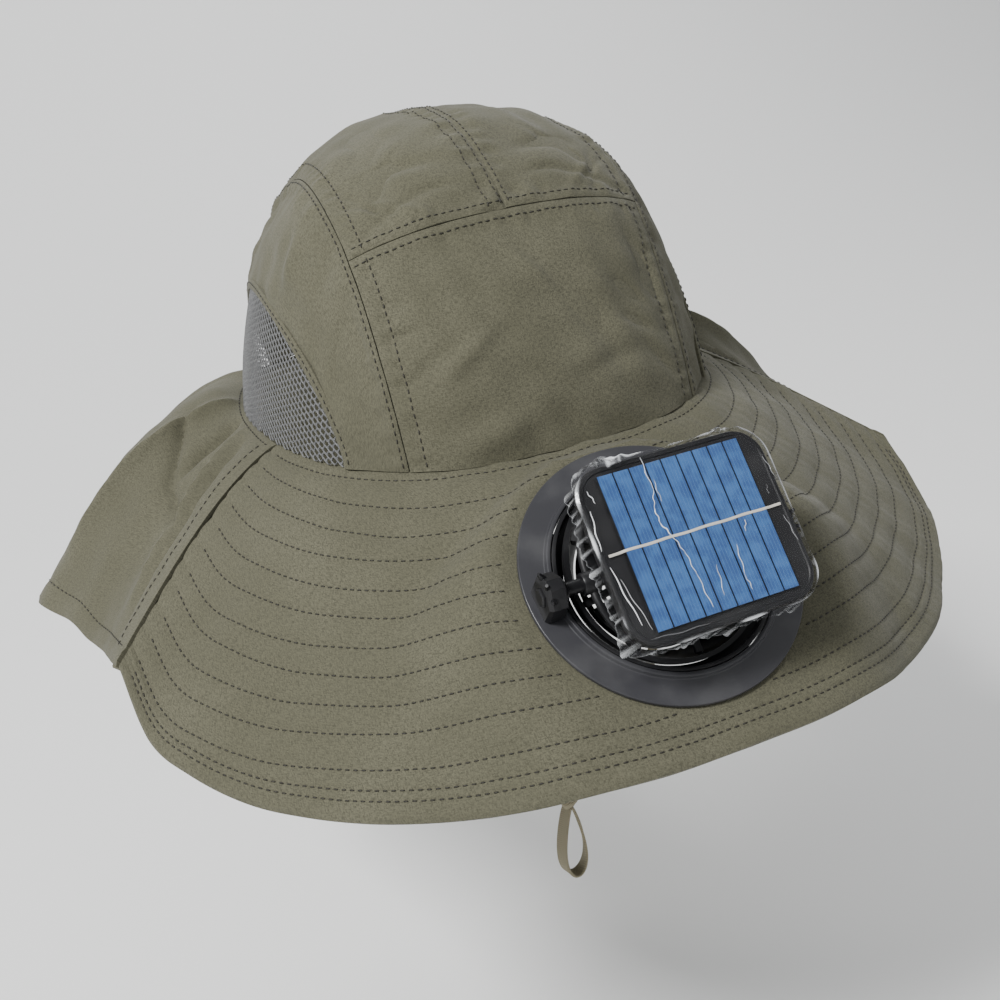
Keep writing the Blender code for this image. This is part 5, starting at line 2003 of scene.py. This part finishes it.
@dataclass
class FanUnit:
    """Housing, spider, deck, motor and guard, which tilt together."""

    palette: Palette
    sizes: FanSizes
    spokes: int = 9
    spoke_width: float = 0.0024
    deck_spread: float = radians(124.0)
    guard_thickness: float = 0.0014
    guard_bars: int = 9
    guard_rings: tuple[tuple[float, float], ...] = (
        (0.16, 0.26), (0.34, 0.39), (0.45, 0.50), (0.56, 0.63), (0.69, 0.74), (0.80, 0.85), (0.92, 1.0),
    )

    def add(self, name: str, points: Array, faces: list[tuple[int, ...]], look: str, node: str) -> None:
        """Make a piece in the unit's frame that stands for a node."""
        points = moved(points, self.sizes.place.unit())
        piece = make_piece(name, points, faces, self.palette[look])
        place_piece(piece, Body.UNIT, Slot.GREY if look == "grey" else Slot.BLACK, node)

    def build(self) -> None:
        """Make the unit's mouldings."""
        s = self.sizes
        heights = np.linspace(s.housing_top, s.housing_bottom, 22)
        profile = [(s.sphere(z), z) for z in heights] + [(s.sphere(z, s.housing_wall), z) for z in heights[::-1]]
        points, faces = lathe(profile, s.steps)
        self.add("fan_housing_moulding", points, facing_out(points, faces), "black", "fan_housing")
        self.build_spider()
        self.build_deck()
        top = s.motor_top
        low = top - s.motor_length
        profile = [(0.0, low), (s.motor_radius, low), (s.motor_radius, top), (0.0, top)]
        points, faces = lathe(rounded(profile, 0.9 * MILLIMETRE), 64)
        self.add("fan_motor_can", points, facing_out(points, faces), "grey", "fan_motor")
        self.build_guard()

    def build_spider(self) -> None:
        """Hub with spokes, and a shaft with its boss and arms on each side."""
        s = self.sizes
        top = s.housing_top - s.fit_gap
        low = top - s.spoke_depth
        hub = [(0.0, low), (s.hub_radius, low), (s.hub_radius, s.hub_top), (0.0, s.hub_top)]
        points, faces = lathe(rounded(hub, 0.8 * MILLIMETRE), 72)
        parts = [(points, facing_out(points, faces))]
        start = s.hub_radius * 0.8
        end = s.sphere(low, s.housing_wall) - s.fit_gap
        for number in range(self.spokes):
            angle = -pi / 2 + 2 * pi * number / self.spokes
            half = self.spoke_width / 2
            parts.append(bar((start, -half, low + 0.0002), (end, half, top - 0.0002), 0.0005, angle))
        for side in Side:
            sign = side.value
            line = np.array([(sign * x, 0.0, 0.0) for x in np.linspace(start, s.shaft_reach, 8)])
            parts.append(tube(line, s.shaft_radius, 20))
            boss = np.array([(sign * x, 0.0, 0.0) for x in (0.0242, 0.0246, 0.0292, 0.0296)])
            parts.append(tube(boss, np.array((3.2, 3.5, 3.5, 3.2)) * MILLIMETRE, 24))
            for turn in (-1, 1):
                share = np.linspace(0, 1, 7)[:, None]
                root = np.array((sign * 0.0268, turn * 0.0022, 0.0))
                tip = np.array((sign * 0.0196, turn * 0.0205, top - 0.5 * s.spoke_depth))
                bend = np.array((sign * 0.0272, turn * 0.0118, 0.0014))
                arm = root * (1 - share) ** 2 + 2 * bend * share * (1 - share) + tip * share**2
                parts.append(tube(arm, 1.25 * MILLIMETRE, 10))
        self.add("fan_spider_moulding", *joined(parts), "black", "fan_spider")

    def build_deck(self) -> None:
        """Smooth shield over the upper part of the spokes."""
        s = self.sizes
        inner = s.hub_radius + 4 * s.fit_gap
        outer = s.sphere(s.housing_top, s.housing_wall) - s.fit_gap
        height = s.housing_top + s.deck_thickness - 0.1 * s.spoke_depth
        angle = (pi / 2 + np.linspace(-0.5, 0.5, 61) * self.deck_spread)[:, None]
        share = np.linspace(0, 1, 13)[None, :]
        radius = inner + (outer - inner) * share
        rise = 0.0016 * np.sin(pi * share**0.8)
        flat = np.broadcast_to(height + rise, (61, 13))
        top = np.stack((radius * np.cos(angle), radius * np.sin(angle), flat), axis=-1)
        under = top - np.array((0.0, 0.0, s.deck_thickness))
        points = np.concatenate((top.reshape(-1, 3), under.reshape(-1, 3)))
        faces = facing_out(points - points.mean(axis=0), shell_faces(61, 13))
        self.add("fan_deck_moulding", points, faces, "black", "fan_deck")

    def build_guard(self) -> None:
        """Grille of rings and bars under the rotor."""
        s = self.sizes
        top = s.housing_bottom + self.guard_thickness + s.fit_gap
        low = top - self.guard_thickness
        edge = s.sphere(s.housing_bottom, s.housing_wall) - s.fit_gap
        parts = []
        for inside, outside in self.guard_rings:
            ring = [(edge * inside, low), (edge * outside, low), (edge * outside, top), (edge * inside, top)]
            points, faces = lathe(rounded(ring, 0.45 * MILLIMETRE), 96)
            parts.append((points, facing_out(points, faces)))
        for number in range(self.guard_bars):
            angle = 2 * pi * number / self.guard_bars
            parts.append(bar((edge * 0.22, -0.0009, low + 0.0002), (edge * 0.96, 0.0009, top - 0.0002), 0.0004, angle))
        self.add("fan_guard_moulding", *joined(parts), "black", "fan_guard")


@dataclass
class Rotor:
    """Hub cup over the motor with pitched, twisted blades."""

    palette: Palette
    sizes: FanSizes
    radius: float = 0.0250
    hub_radius: float = 0.0108
    hub_wall: float = 0.0012
    blades: int = 5
    blade_height: float = 0.0050
    blade_thickness: float = 0.0011
    pitch: float = radians(17.0)

    def build(self) -> None:
        """Make the rotor."""
        s = self.sizes
        floor = s.motor_top - s.motor_length - s.fit_gap
        low, rim = floor - self.hub_wall, floor + s.motor_length * 0.6
        inside = self.hub_radius - self.hub_wall
        profile = [
            (0.0, low), (self.hub_radius, low), (self.hub_radius, rim), (inside, rim), (inside, floor), (0.0, floor),
        ]
        points, faces = lathe(rounded(profile, 0.7 * MILLIMETRE), 72)
        parts = [(points, facing_out(points, faces))]
        blade = self.blade((low + rim) / 2, inside)
        for number in range(self.blades):
            turn = Matrix.Rotation(2 * pi * number / self.blades, 4, "Z")
            parts.append((moved(blade[0], turn), blade[1]))
        points, faces = joined(parts)
        piece = make_piece("fan_rotor_moulding", moved(points, s.place.unit()), faces, self.palette["black"])
        place_piece(piece, Body.ROTOR, Slot.BLACK, "fan_rotor")

    def blade(self, middle: float, inside: float) -> Mesh:
        """One blade along X.

        Args:
            middle: Height of its middle.
            inside: Inner radius of the hub.

        Returns:
            Points and faces.
        """
        share = np.linspace(0, 1, 14)[:, None]
        chord = np.linspace(-1, 1, 13)[None, :]
        start = inside + 0.4 * self.hub_wall
        radius = start + (self.radius - start) * share - 0.0012 * (chord**4) * share
        sweep = self.blade_height / np.tan(self.pitch) / 2 * (0.45 + 0.65 * share)
        angle = chord * sweep / radius
        height = middle + chord * self.blade_height / 2 * (1.06 - 0.12 * share) + 0.0005 * (1 - chord**2)
        face = np.stack((radius * np.cos(angle), radius * np.sin(angle), height), axis=-1)
        half = self.blade_thickness / 2 * (1 - 0.65 * np.abs(chord) ** 3) * (1 - 0.25 * share)
        normal = grid_normals(face) * half[..., None]
        points = np.concatenate(((face + normal).reshape(-1, 3), (face - normal).reshape(-1, 3)))
        return points, facing_out(points - points.mean(axis=0), shell_faces(14, 13))


class Streak(NamedTuple):
    """A white crease of the film, painted white partly as a highlight, between two places on the panel, in millimetres.
    """

    from_x: float
    from_y: float
    to_x: float
    to_y: float
    width: float
    strength: float


@dataclass
class SolarPanel:
    """Stem, case, cell strips, ribbon and the clear film that still wraps the case."""

    palette: Palette
    sizes: FanSizes
    width: float = 0.0620
    length: float = 0.0540
    corner: float = 0.0095
    thickness: float = 0.0045
    height: float = 0.0234
    cell_width: float = 0.0470
    cell_length: float = 0.0470
    cell_thickness: float = 0.0006
    cell_shift: float = 0.0004
    strips: int = 9
    strip_gap: float = 0.42 * MILLIMETRE
    ribbon_reach: float = 0.0286
    ribbon_width: float = 0.80 * MILLIMETRE
    film_thickness: float = 0.0004
    skirt: float = 0.0074
    stem_radius: float = 0.0050
    stem_flare: float = 0.0140
    # White creases of the film, painted partly as highlights.
    streaks: tuple[Streak, ...] = (
        Streak(-8.7, 26.0, -8.6, 15.7, 0.32, 0.9), Streak(-8.6, 15.7, -10.5, 10.6, 0.30, 1.0),
        Streak(-10.5, 10.6, -10.6, 5.9, 0.38, 1.0), Streak(-10.6, 5.9, -8.7, 1.5, 0.60, 1.0),
        Streak(-8.7, 1.5, -6.9, -3.8, 0.34, 1.0), Streak(-6.9, -3.8, -6.0, -11.0, 0.30, 1.0),
        Streak(-6.0, -11.0, -5.2, -21.4, 0.30, 0.95), Streak(-7.3, 18.5, -7.6, 11.6, 0.35, 0.7),
        Streak(9.3, -6.4, 8.0, -15.5, 0.30, 0.9), Streak(8.0, -15.5, 8.5, -20.1, 0.32, 0.8),
        Streak(0.8, -10.2, -0.5, -19.3, 0.26, 0.8), Streak(15.0, -0.2, 13.7, -3.6, 0.40, 0.7),
        Streak(-29.4, 14.8, -30.6, 2.9, 0.55, 0.9), Streak(-30.0, -2.0, -27.4, -20.0, 0.60, 0.9),
        Streak(-28.4, -6.0, -25.0, -22.0, 0.40, 0.7), Streak(-28.1, 20.6, -27.0, 16.5, 0.50, 0.8),
        Streak(28.6, 16.3, 29.8, 9.6, 0.40, 0.6), Streak(27.2, -2.3, 28.5, -10.6, 0.40, 0.6),
        Streak(26.0, 8.0, 25.6, 5.0, 0.35, 0.5), Streak(-26.5, -24.5, -8.0, -25.4, 0.45, 0.5),
    )

    def add(self, name: str, mesh: Mesh, look: str, slot: Slot, *nodes: str, flat: Array | None = None) -> None:
        """Make a piece in the unit's frame.

        Args:
            name: The piece's name.
            mesh: Points and faces.
            look: Its material.
            slot: The record's slot.
            nodes: Nodes that it stands for.
            flat: Place of each point on its flat face.
        """
        points = moved(mesh[0], self.sizes.place.unit())
        piece = make_piece(name, points, mesh[1], self.palette[look], flat)
        place_piece(piece, Body.UNIT, slot, *nodes)

    def build(self) -> None:
        """Make the panel."""
        s = self.sizes
        low, top = self.height - self.thickness, self.height
        foot, head = s.hub_top + s.fit_gap, low - s.fit_gap
        rise = head - foot
        profile = [(0.0, foot), (self.stem_radius * 1.6, foot), (self.stem_radius * 1.6, foot + 0.1 * rise)]
        for share in np.linspace(0, 1, 9):
            radius = self.stem_radius + (self.stem_flare - self.stem_radius) * ease((share - 0.55) / 0.45) ** 1.6
            profile.append((float(radius), foot + rise * (0.22 + 0.70 * share)))
        profile += [(self.stem_flare, head), (0.0, head)]
        points, faces = lathe(profile, 72)
        self.add("panel_stem_moulding", (points, facing_out(points, faces)), "black", Slot.BLACK, "panel_stem")
        rings = []
        for inset, height in (
            (1.2, low), (0.35, low + 0.00035), (0.0, low + 0.0011), (0.0, top - 0.0010), (0.25, top - 0.00035),
            (0.9, top), (1.5, top), (1.8, top - 0.0003),
        ):
            inset *= MILLIMETRE
            outline = rounded_outline(self.width - 2 * inset, self.length - 2 * inset, self.corner - inset, 12)
            rings.append(at_height(outline, height))
        self.add("panel_case_moulding", loft(rings), "black", Slot.BLACK, "panel_case")
        self.build_cells(top + s.fit_gap)
        self.build_film(top + 2 * s.fit_gap + self.cell_thickness)
        self.build_creases(top + 2 * s.fit_gap + self.cell_thickness + self.film_thickness)

    def build_cells(self, base: float) -> None:
        """Cell strips side by side on a dark backing, and the ribbon across them.

        Args:
            base: Height of the backing's underside.
        """
        half, long = self.cell_width / 2, self.cell_length / 2
        shift, level = self.cell_shift, base + 0.5 * self.cell_thickness
        backing = bar((-half, shift - long, base), (half, shift + long, level), 0.08 * MILLIMETRE)
        self.add("cell_backing", backing, "black", Slot.BLACK)
        pitch = self.cell_width / self.strips
        parts = []
        for number in range(self.strips):
            left = -half + pitch * number + self.strip_gap / 2
            right = left + pitch - self.strip_gap
            high = base + self.cell_thickness
            parts.append(bar((left, shift - long, level), (right, shift + long, high), 0.05 * MILLIMETRE))
        points, faces = joined(parts)
        flat = np.column_stack((points[:, 0] / self.cell_width + 0.5, points[:, 1]))
        self.add("cell_strips", (points, faces), "silicon", Slot.SILICON, "solar_cells", flat=flat)
        rings = []
        for x in np.linspace(-self.ribbon_reach, self.ribbon_reach, 60):
            middle = shift + 0.0009 + 0.08 * MILLIMETRE * sin(x * 500)
            drop = self.cell_thickness * 0.8 * float(ease((abs(x) - half) / 0.0012))
            wide, high = self.ribbon_width / 2, base + self.cell_thickness - drop
            rings.append(np.array([
                (x, middle + a * wide, high + b * 0.20 * MILLIMETRE)
                for a, b in ((-1, 0.1), (1, 0.1), (1, 0.6), (0.6, 1), (-0.6, 1), (-1, 0.6))
            ]))
        self.add("cell_ribbon", loft(rings), "silver", Slot.SILICON)

    def build_film(self, under: float) -> None:
        """Crumpled film over the face, its creases and its ragged skirt.

        Args:
            under: Height of the film's underside over the cells.
        """
        s = self.sizes
        around, inward, down = 420, 64, 16
        clear = s.fit_gap + 0.5 * self.film_thickness
        outline = rounded_outline(self.width + 2 * clear, self.length + 2 * clear, self.corner + clear, 24)
        outline = self.even(outline, around)
        angle = np.arctan2(outline[:, 1], outline[:, 0])
        share = np.linspace(0.03, 1, inward)
        face = outline[:, None, :] * share[None, :, None]
        level = under + 0.5 * self.film_thickness
        height = np.full(face.shape[:2], level)
        edge = ease((share - 0.955) / 0.045)[None, :]
        height = height - 0.9 * MILLIMETRE * edge**2
        top = np.dstack((face, height))
        hem = self.skirt * (1.0 + 0.20 * ripple(top[:, -1], 0.018, 71) + 0.04 * ripple(top[:, -1], 0.004, 72))
        hem = hem * (1 + 0.25 * bell(angle + pi / 2, 0.9) + 0.55 * bell(angle + 2.42, 0.10))
        outward = unit(np.gradient(outline, axis=0)[:, ::-1] * (1, -1))
        step = np.linspace(0, 1, down + 1)[1:]
        pleat = 0.5 * ripple(top[:, -1], 0.0042, 73) + 0.35 * ripple(top[:, -1], 0.0021, 74)
        puff = (0.25 + pleat)[:, None] * step[None, :] ** 0.8 * 1.15 * MILLIMETRE
        tuck = -1.6 * MILLIMETRE * ease((step - 0.75) / 0.25)[None, :] * bell(angle - pi / 2, 1.2)[:, None]
        skirt = outline[:, None, :] + outward[:, None, :] * (puff + np.maximum(tuck, -0.2 * MILLIMETRE))[..., None]
        fall = top[:, -1, 2][:, None] - step[None, :] * hem[:, None]
        grid = np.concatenate((top, np.dstack((skirt, fall))), axis=1)
        # Whiteness of the film, partly painted highlight along its creases, rim, skirt and hem.
        mask = self.crease_mask(grid, inward, pleat, step)
        normal = grid_normals(np.concatenate((grid[-1:], grid, grid[:1])))[1:-1]
        normal *= np.where(np.sum(normal * (grid - (0, 0, level - 0.01)), axis=2, keepdims=True) > 0, 1.0, -1.0)
        lift = 0.10 * MILLIMETRE * (ripple(grid, 0.012, 75) + 1) + 0.25 * MILLIMETRE * mask
        crumple = self.tufts(grid[..., :2] / MILLIMETRE) * (1 + 0.9 * ripple(grid, 0.003, 79))
        lift += 1.1 * MILLIMETRE * np.maximum(crumple, 0)
        outer = grid + normal * lift[..., None]
        inner = outer - normal * 0.12 * MILLIMETRE
        rows, columns = grid.shape[:2]
        index = np.arange(rows * columns).reshape(rows, columns)
        looped = np.concatenate((index, index[:1]))
        quads = np.stack((looped[:-1, :-1], looped[:-1, 1:], looped[1:, 1:], looped[1:, :-1]), axis=-1).reshape(-1, 4)
        count = rows * columns
        first, last = looped[:, 0], looped[:, -1]
        rim = np.stack((last[:-1], last[1:], count + last[1:], count + last[:-1]), axis=1)
        faces = [tuple(f) for f in np.concatenate((quads, count + quads[:, ::-1], rim[:, ::-1])).tolist()]
        faces += [tuple(first[:-1][::-1].tolist()), tuple((count + first[:-1]).tolist())]
        points = np.concatenate((outer.reshape(-1, 3), inner.reshape(-1, 3)))
        # The whiteness, painted highlight in part, reaches the film's material through its flat map.
        tone = np.column_stack((mask.reshape(-1), grid[..., 1].reshape(-1)))
        solid = facing_out(points, faces)
        self.add("panel_film_wrap", (points, solid), "film", Slot.FILM, "panel_film", flat=np.concatenate((tone, tone)))

    def build_creases(self, level: float) -> None:
        """Thin white ridges where the film is creased, their white partly painted highlight.

        Args:
            level: Height of the film's upper face.
        """
        parts, glint_tones = [], []
        for number, streak in enumerate(self.streaks):
            share = np.linspace(0, 1, 12)
            start = np.array((streak.from_x, streak.from_y))
            run = np.array((streak.to_x, streak.to_y)) - start
            path = start + share[:, None] * run
            aside = unit(np.array((-run[1], run[0])))
            path = path + aside * (0.30 * np.sin(share * 9 + number) * np.sin(pi * share))[:, None]
            points = np.column_stack((path * MILLIMETRE, np.zeros(len(path))))
            radius = 0.34 * streak.width * MILLIMETRE * (0.35 + 0.65 * np.sin(pi * share) ** 0.6)
            ridge, faces = tube(points, radius, 6)
            ridge[:, 2] = level + 0.45 * ridge[:, 2] + 0.08 * MILLIMETRE
            parts.append((ridge, faces))
            # Strength of each crease's white, which is partly painted highlight.
            glint_tones += [streak.strength] * len(ridge)
        flat = np.column_stack((glint_tones, np.zeros(len(glint_tones))))
        self.add("film_creases", joined(parts), "film", Slot.FILM, flat=flat)

    def even(self, outline: Array, count: int) -> Array:
        """A closed outline read at even steps."""
        closed = np.concatenate((outline, outline[:1]))
        reach = np.concatenate(([0.0], np.cumsum(np.linalg.norm(np.diff(closed, axis=0), axis=1))))
        at = np.linspace(0, reach[-1], count, endpoint=False)
        return np.column_stack([np.interp(at, reach, closed[:, k]) for k in range(2)])

    def tufts(self, spots: Array) -> Array:
        """Share of crumpling at places on the panel in millimetres, most at two tufts of its top edge."""
        top = bell(spots[..., 1] - self.length / 2 / MILLIMETRE, 2.2)
        return top * (bell(spots[..., 0] + 19, 7) + 0.8 * bell(spots[..., 0] - 20, 5))

    def crease_mask(self, grid: Array, inward: int, pleat: Array, step: Array) -> Array:
        """How white the film is, from its creases, its edge and its pleats; part of the white is painted highlight,
        strongest along the rim of the face, on the skirt at the lower left and at the hem.

        Args:
            grid: Points of the film.
            inward: Number of grid columns on the face.
            pleat: Unevenness of the skirt round the panel.
            step: Share of the way down of each skirt column.

        Returns:
            A value from 0 to 1 for each point.
        """
        spots = grid[..., :2] / MILLIMETRE
        mask = np.clip(0.75 * self.tufts(spots) * (0.6 + 0.6 * ripple(grid, 0.0025, 76)), 0, 1)
        rim = np.abs(np.arange(grid.shape[1]) - (inward - 1))
        # Painted highlight along the rim of the face.
        rim_glint = 0.55 + 0.45 * ripple(grid[:, inward - 1], 0.012, 78)
        mask = np.maximum(mask, np.clip(rim_glint, 0, 1)[:, None] * bell(rim, 1.6)[None, :])
        angle = np.arctan2(grid[:, inward - 1, 1], grid[:, inward - 1, 0])
        # Painted highlight on the hanging skirt at the lower left.
        hanging_glint = 0.34 * bell(angle + 0.62 * pi, 1.0)
        ridges = np.clip(0.26 + hanging_glint + 1.5 * np.abs(pleat) ** 1.4, 0, 1)[:, None]
        ridges = ridges * (0.45 + 0.30 * step)[None, :]
        mask[:, inward:] = np.maximum(mask[:, inward:], ridges)
        # The hem's edge is painted white, partly as a highlight.
        mask[:, -1:] = np.maximum(mask[:, -1:], 0.6)
        return np.clip(mask, 0, 1)


@dataclass
class ChinTie:
    """Tape from side to side under the chin, its knot and the hanging loop."""

    palette: Palette
    crown: CrownForm
    width: float = 0.0060
    cloth: float = 0.0011
    front: float = 0.0610
    drop: float = 0.1610
    loop_length: float = 0.0330
    loop_width: float = 0.0150
    knot: float = 0.0090
    grip: float = 0.0022
    fit_gap: float = 0.0003

    def tape(self, path: Array, across: Array, closed: bool) -> tuple[Array, list[tuple[int, ...]], Array]:
        """Flat tape with soft edges along a path.

        Args:
            path: Its centreline.
            across: Its width direction at each point.
            closed: Whether it returns to its start.

        Returns:
            Points, faces and the place of each point on the flat tape.
        """
        if closed:
            tangent = unit(np.roll(path, -1, axis=0) - np.roll(path, 1, axis=0))
        else:
            tangent = unit(np.gradient(path, axis=0))
        across = unit(across - tangent * np.sum(across * tangent, axis=1, keepdims=True))
        normal = np.cross(tangent, across)
        section = ((-1, -0.4), (-0.9, -1), (0, -0.8), (0.9, -1), (1, -0.4), (1, 0.4), (0.9, 1), (0, 0.8), (-0.9, 1), (-1, 0.4))
        step = np.linalg.norm(np.diff(path, axis=0), axis=1)
        reach = np.concatenate(([0.0], np.cumsum(step)))
        rings, flat = [], []
        for i, place in enumerate(path):
            rings.append([place + across[i] * a * self.width / 2 + normal[i] * n * self.cloth / 2 for a, n in section])
            flat += [(a * self.width / 2, reach[i]) for a, _ in section]
        if not closed:
            points, faces = loft([np.array(r) for r in rings])
            return points, faces, np.array(flat)
        count, faces = len(section), []
        for i in range(len(path)):
            for k in range(count):
                a, b = i * count, (i + 1) % len(path) * count
                faces.append((a + k, b + k, b + (k + 1) % count, a + (k + 1) % count))
        points = np.concatenate([np.array(r) for r in rings])
        return points, facing_out(points - points.mean(axis=0), faces), np.array(flat)

    def strap_path(self) -> Array:
        """Centreline of the strap from the right of the crown, under the chin, to the left."""
        seat = self.crown.width / 2 - self.crown.cloth - self.cloth / 2 - 2.5 * self.fit_gap
        share = np.linspace(0, 1, 70)
        half = np.column_stack((
            seat * np.cos(pi / 2 * share) ** 0.62,
            -self.front * share**1.15,
            -self.drop * np.sin(pi / 2 * share) ** 1.25,
        ))
        half[-1, 0] = 0.0
        length = 0.11 * self.crown.height
        top = half[0] + np.array([(-0.035 * self.crown.height * k, 0.0, length * k) for k in (1.0, 0.66, 0.33)])
        half = np.concatenate((top, half))
        right = half * (-1, 1, 1)
        return np.concatenate((right, half[-2::-1]))

    def add(self, name: str, mesh: tuple[Array, list[tuple[int, ...]], Array], node: str) -> None:
        """Make one piece of tape that stands for a node."""
        piece = make_piece(name, mesh[0], mesh[1], self.palette["tape"], mesh[2])
        place_piece(piece, Body.HAT, Slot.TAPE, node)

    def build(self) -> None:
        """Make the strap, the knot and the loop."""
        path = self.strap_path()
        across = np.tile((0.0, 1.0, 0.0), (len(path), 1))
        self.add("chin_strap_tape", self.tape(path, across, False), "chin_strap")
        top = -self.drop - self.cloth / 2 - self.fit_gap
        self.build_knot(top)
        tail = top - self.knot - self.fit_gap
        start = tail + self.grip
        angle = 2 * pi * np.arange(120) / 120
        share = (1 - np.cos(angle)) / 2
        x = self.loop_width / 2 * np.sin(angle) * (0.35 + 0.65 * share)
        z = start - self.cloth / 2 - (self.loop_length + self.grip - self.cloth) * share
        y = -self.front + 0.0009 * np.sin(angle) * share
        turn = 0.30 * np.sin(angle)
        across = np.column_stack((np.sin(turn), np.cos(turn), 0.12 * np.sin(angle)))
        self.add("tie_loop_tape", self.tape(np.column_stack((x, y, z)), across, True), "tie_loop")

    def build_knot(self, top: float) -> None:
        """A pulled knot that grips the strap and the loop, with the turns of the tape wound over it.

        Args:
            top: Height of its top.
        """
        half = self.knot / 2
        rise = np.linspace(0.02, 0.98, 26)[:, None]
        turn = (2 * pi * np.arange(48) / 48)[None, :]
        belly = np.sin(pi * rise) ** 0.40
        wound = 1 + 0.16 * np.sin(2 * turn + 7 * rise) + 0.07 * np.sin(5 * rise * pi + turn)
        radius = half * belly * wound * 0.92
        points = np.stack((
            radius * np.cos(turn), radius * np.sin(turn) * 0.85 - self.front,
            np.broadcast_to(top + self.grip - (self.knot + self.grip) * rise, radius.shape),
        ), axis=-1)
        mesh = loft(list(points))
        flat = np.column_stack((mesh[0][:, 0], mesh[0][:, 2]))
        self.add("tie_knot_wound", (*mesh, flat), "tie_knot")


# Stage


@dataclass
class PhotoCamera:
    """Camera at the photograph's viewing angle, with angles in radians and lengths in metres."""

    azimuth: float = -0.37752
    elevation: float = 0.40139
    roll: float = -0.12162
    distance: float = 0.52897
    right_shift: float = 0.009763
    up_shift: float = -0.051773
    lens: float = 48.106
    sensor: float = 36.0

    def build(self) -> bpy.types.Object:
        """Make the camera and give it to the scene."""
        data = bpy.data.cameras.new("photo_camera")
        data.lens, data.sensor_width = self.lens, self.sensor
        data.clip_start, data.clip_end = 0.01, 20.0
        camera = bpy.data.objects.new("photo_camera", data)
        bpy.context.scene.collection.objects.link(camera)
        a, e = self.azimuth, self.elevation
        back = Vector((sin(a) * cos(e), -cos(a) * cos(e), sin(e)))
        level = Vector((cos(a), sin(a), 0.0))
        upright = back.cross(level)
        right = level * cos(self.roll) + upright * sin(self.roll)
        up = upright * cos(self.roll) - level * sin(self.roll)
        place = level * self.right_shift + upright * self.up_shift + back * self.distance
        camera.matrix_world = Matrix((
            (right.x, up.x, back.x, place.x), (right.y, up.y, back.y, place.y),
            (right.z, up.z, back.z, place.z), (0.0, 0.0, 0.0, 1.0),
        ))
        bpy.context.scene.camera = camera
        return camera


@dataclass
class Studio:
    """Pale curved backdrop and soft studio lights."""

    palette: Palette
    floor: float = -0.30
    half_width: float = 4.0
    front: float = -4.0
    wall: float = 1.6
    wall_height: float = 3.5
    bend: float = 0.9

    def build(self) -> None:
        """Make the backdrop, the world and the lights."""
        steps = 24
        profile = [(self.front, self.floor)]
        for i in range(steps + 1):
            angle = pi / 2 * i / steps
            profile.append((
                self.wall - self.bend + self.bend * sin(angle), self.floor + self.bend * (1 - cos(angle)),
            ))
        profile.append((self.wall, self.floor + self.wall_height))
        points = [(x, y, z) for y, z in profile for x in (-self.half_width, self.half_width)]
        faces = [(2 * i, 2 * i + 1, 2 * i + 3, 2 * i + 2) for i in range(len(profile) - 1)]
        paper = make_piece("backdrop", np.array(points), faces, self.palette["paper"])
        self.build_world()
        self.build_light("key_light", (-1.05, -0.55, 1.30), 0.40, 46.0)
        self.build_light("fill_light", (1.25, -0.9, 0.75), 1.4, 2.5)
        self.build_light("rim_light", (0.5, 1.3, 1.2), 0.9, 12.0)

    def build_world(self) -> None:
        """Even pale light from all round."""
        world = bpy.data.worlds.new("studio_air")
        world.use_nodes = True
        air = world.node_tree.nodes["Background"]
        air.inputs["Color"].default_value = (0.95, 0.97, 1.0, 1.0)
        air.inputs["Strength"].default_value = 0.54
        bpy.context.scene.world = world

    def build_light(self, name: str, place: tuple[float, float, float], size: float, power: float) -> None:
        """Add a square soft light aimed at the hat.

        Args:
            name: The light's name.
            place: Where it stands.
            size: Its side in metres.
            power: Its power in watts.
        """
        data = bpy.data.lights.new(name, "AREA")
        data.shape, data.size, data.energy = "SQUARE", size, power
        light = bpy.data.objects.new(name, data)
        bpy.context.scene.collection.objects.link(light)
        light.location = place
        aim = Vector((0.0, -0.05, 0.0)) - Vector(place)
        light.rotation_mode = "QUATERNION"
        light.rotation_quaternion = aim.to_track_quat("-Z", "Y")


def main() -> None:
    """Build the hat from the top down."""
    logging.basicConfig(level=logging.INFO, format="%(message)s")
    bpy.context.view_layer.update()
    palette = Palette()
    PhotoCamera().build()
    Studio(palette).build()
    crown = Crown(palette)
    crown.build()
    fan = FanPlace()
    brim = Brim(palette, crown.form, fan)
    brim.build()
    NeckFlap(palette, brim).build()
    sizes = FanSizes(fan)
    FanMount(palette, sizes).build()
    FanUnit(palette, sizes).build()
    Rotor(palette, sizes).build()
    SolarPanel(palette, sizes).build()
    ChinTie(palette, crown.form).build()
    bpy.context.view_layer.update()


if __name__ == "__main__":
    main()
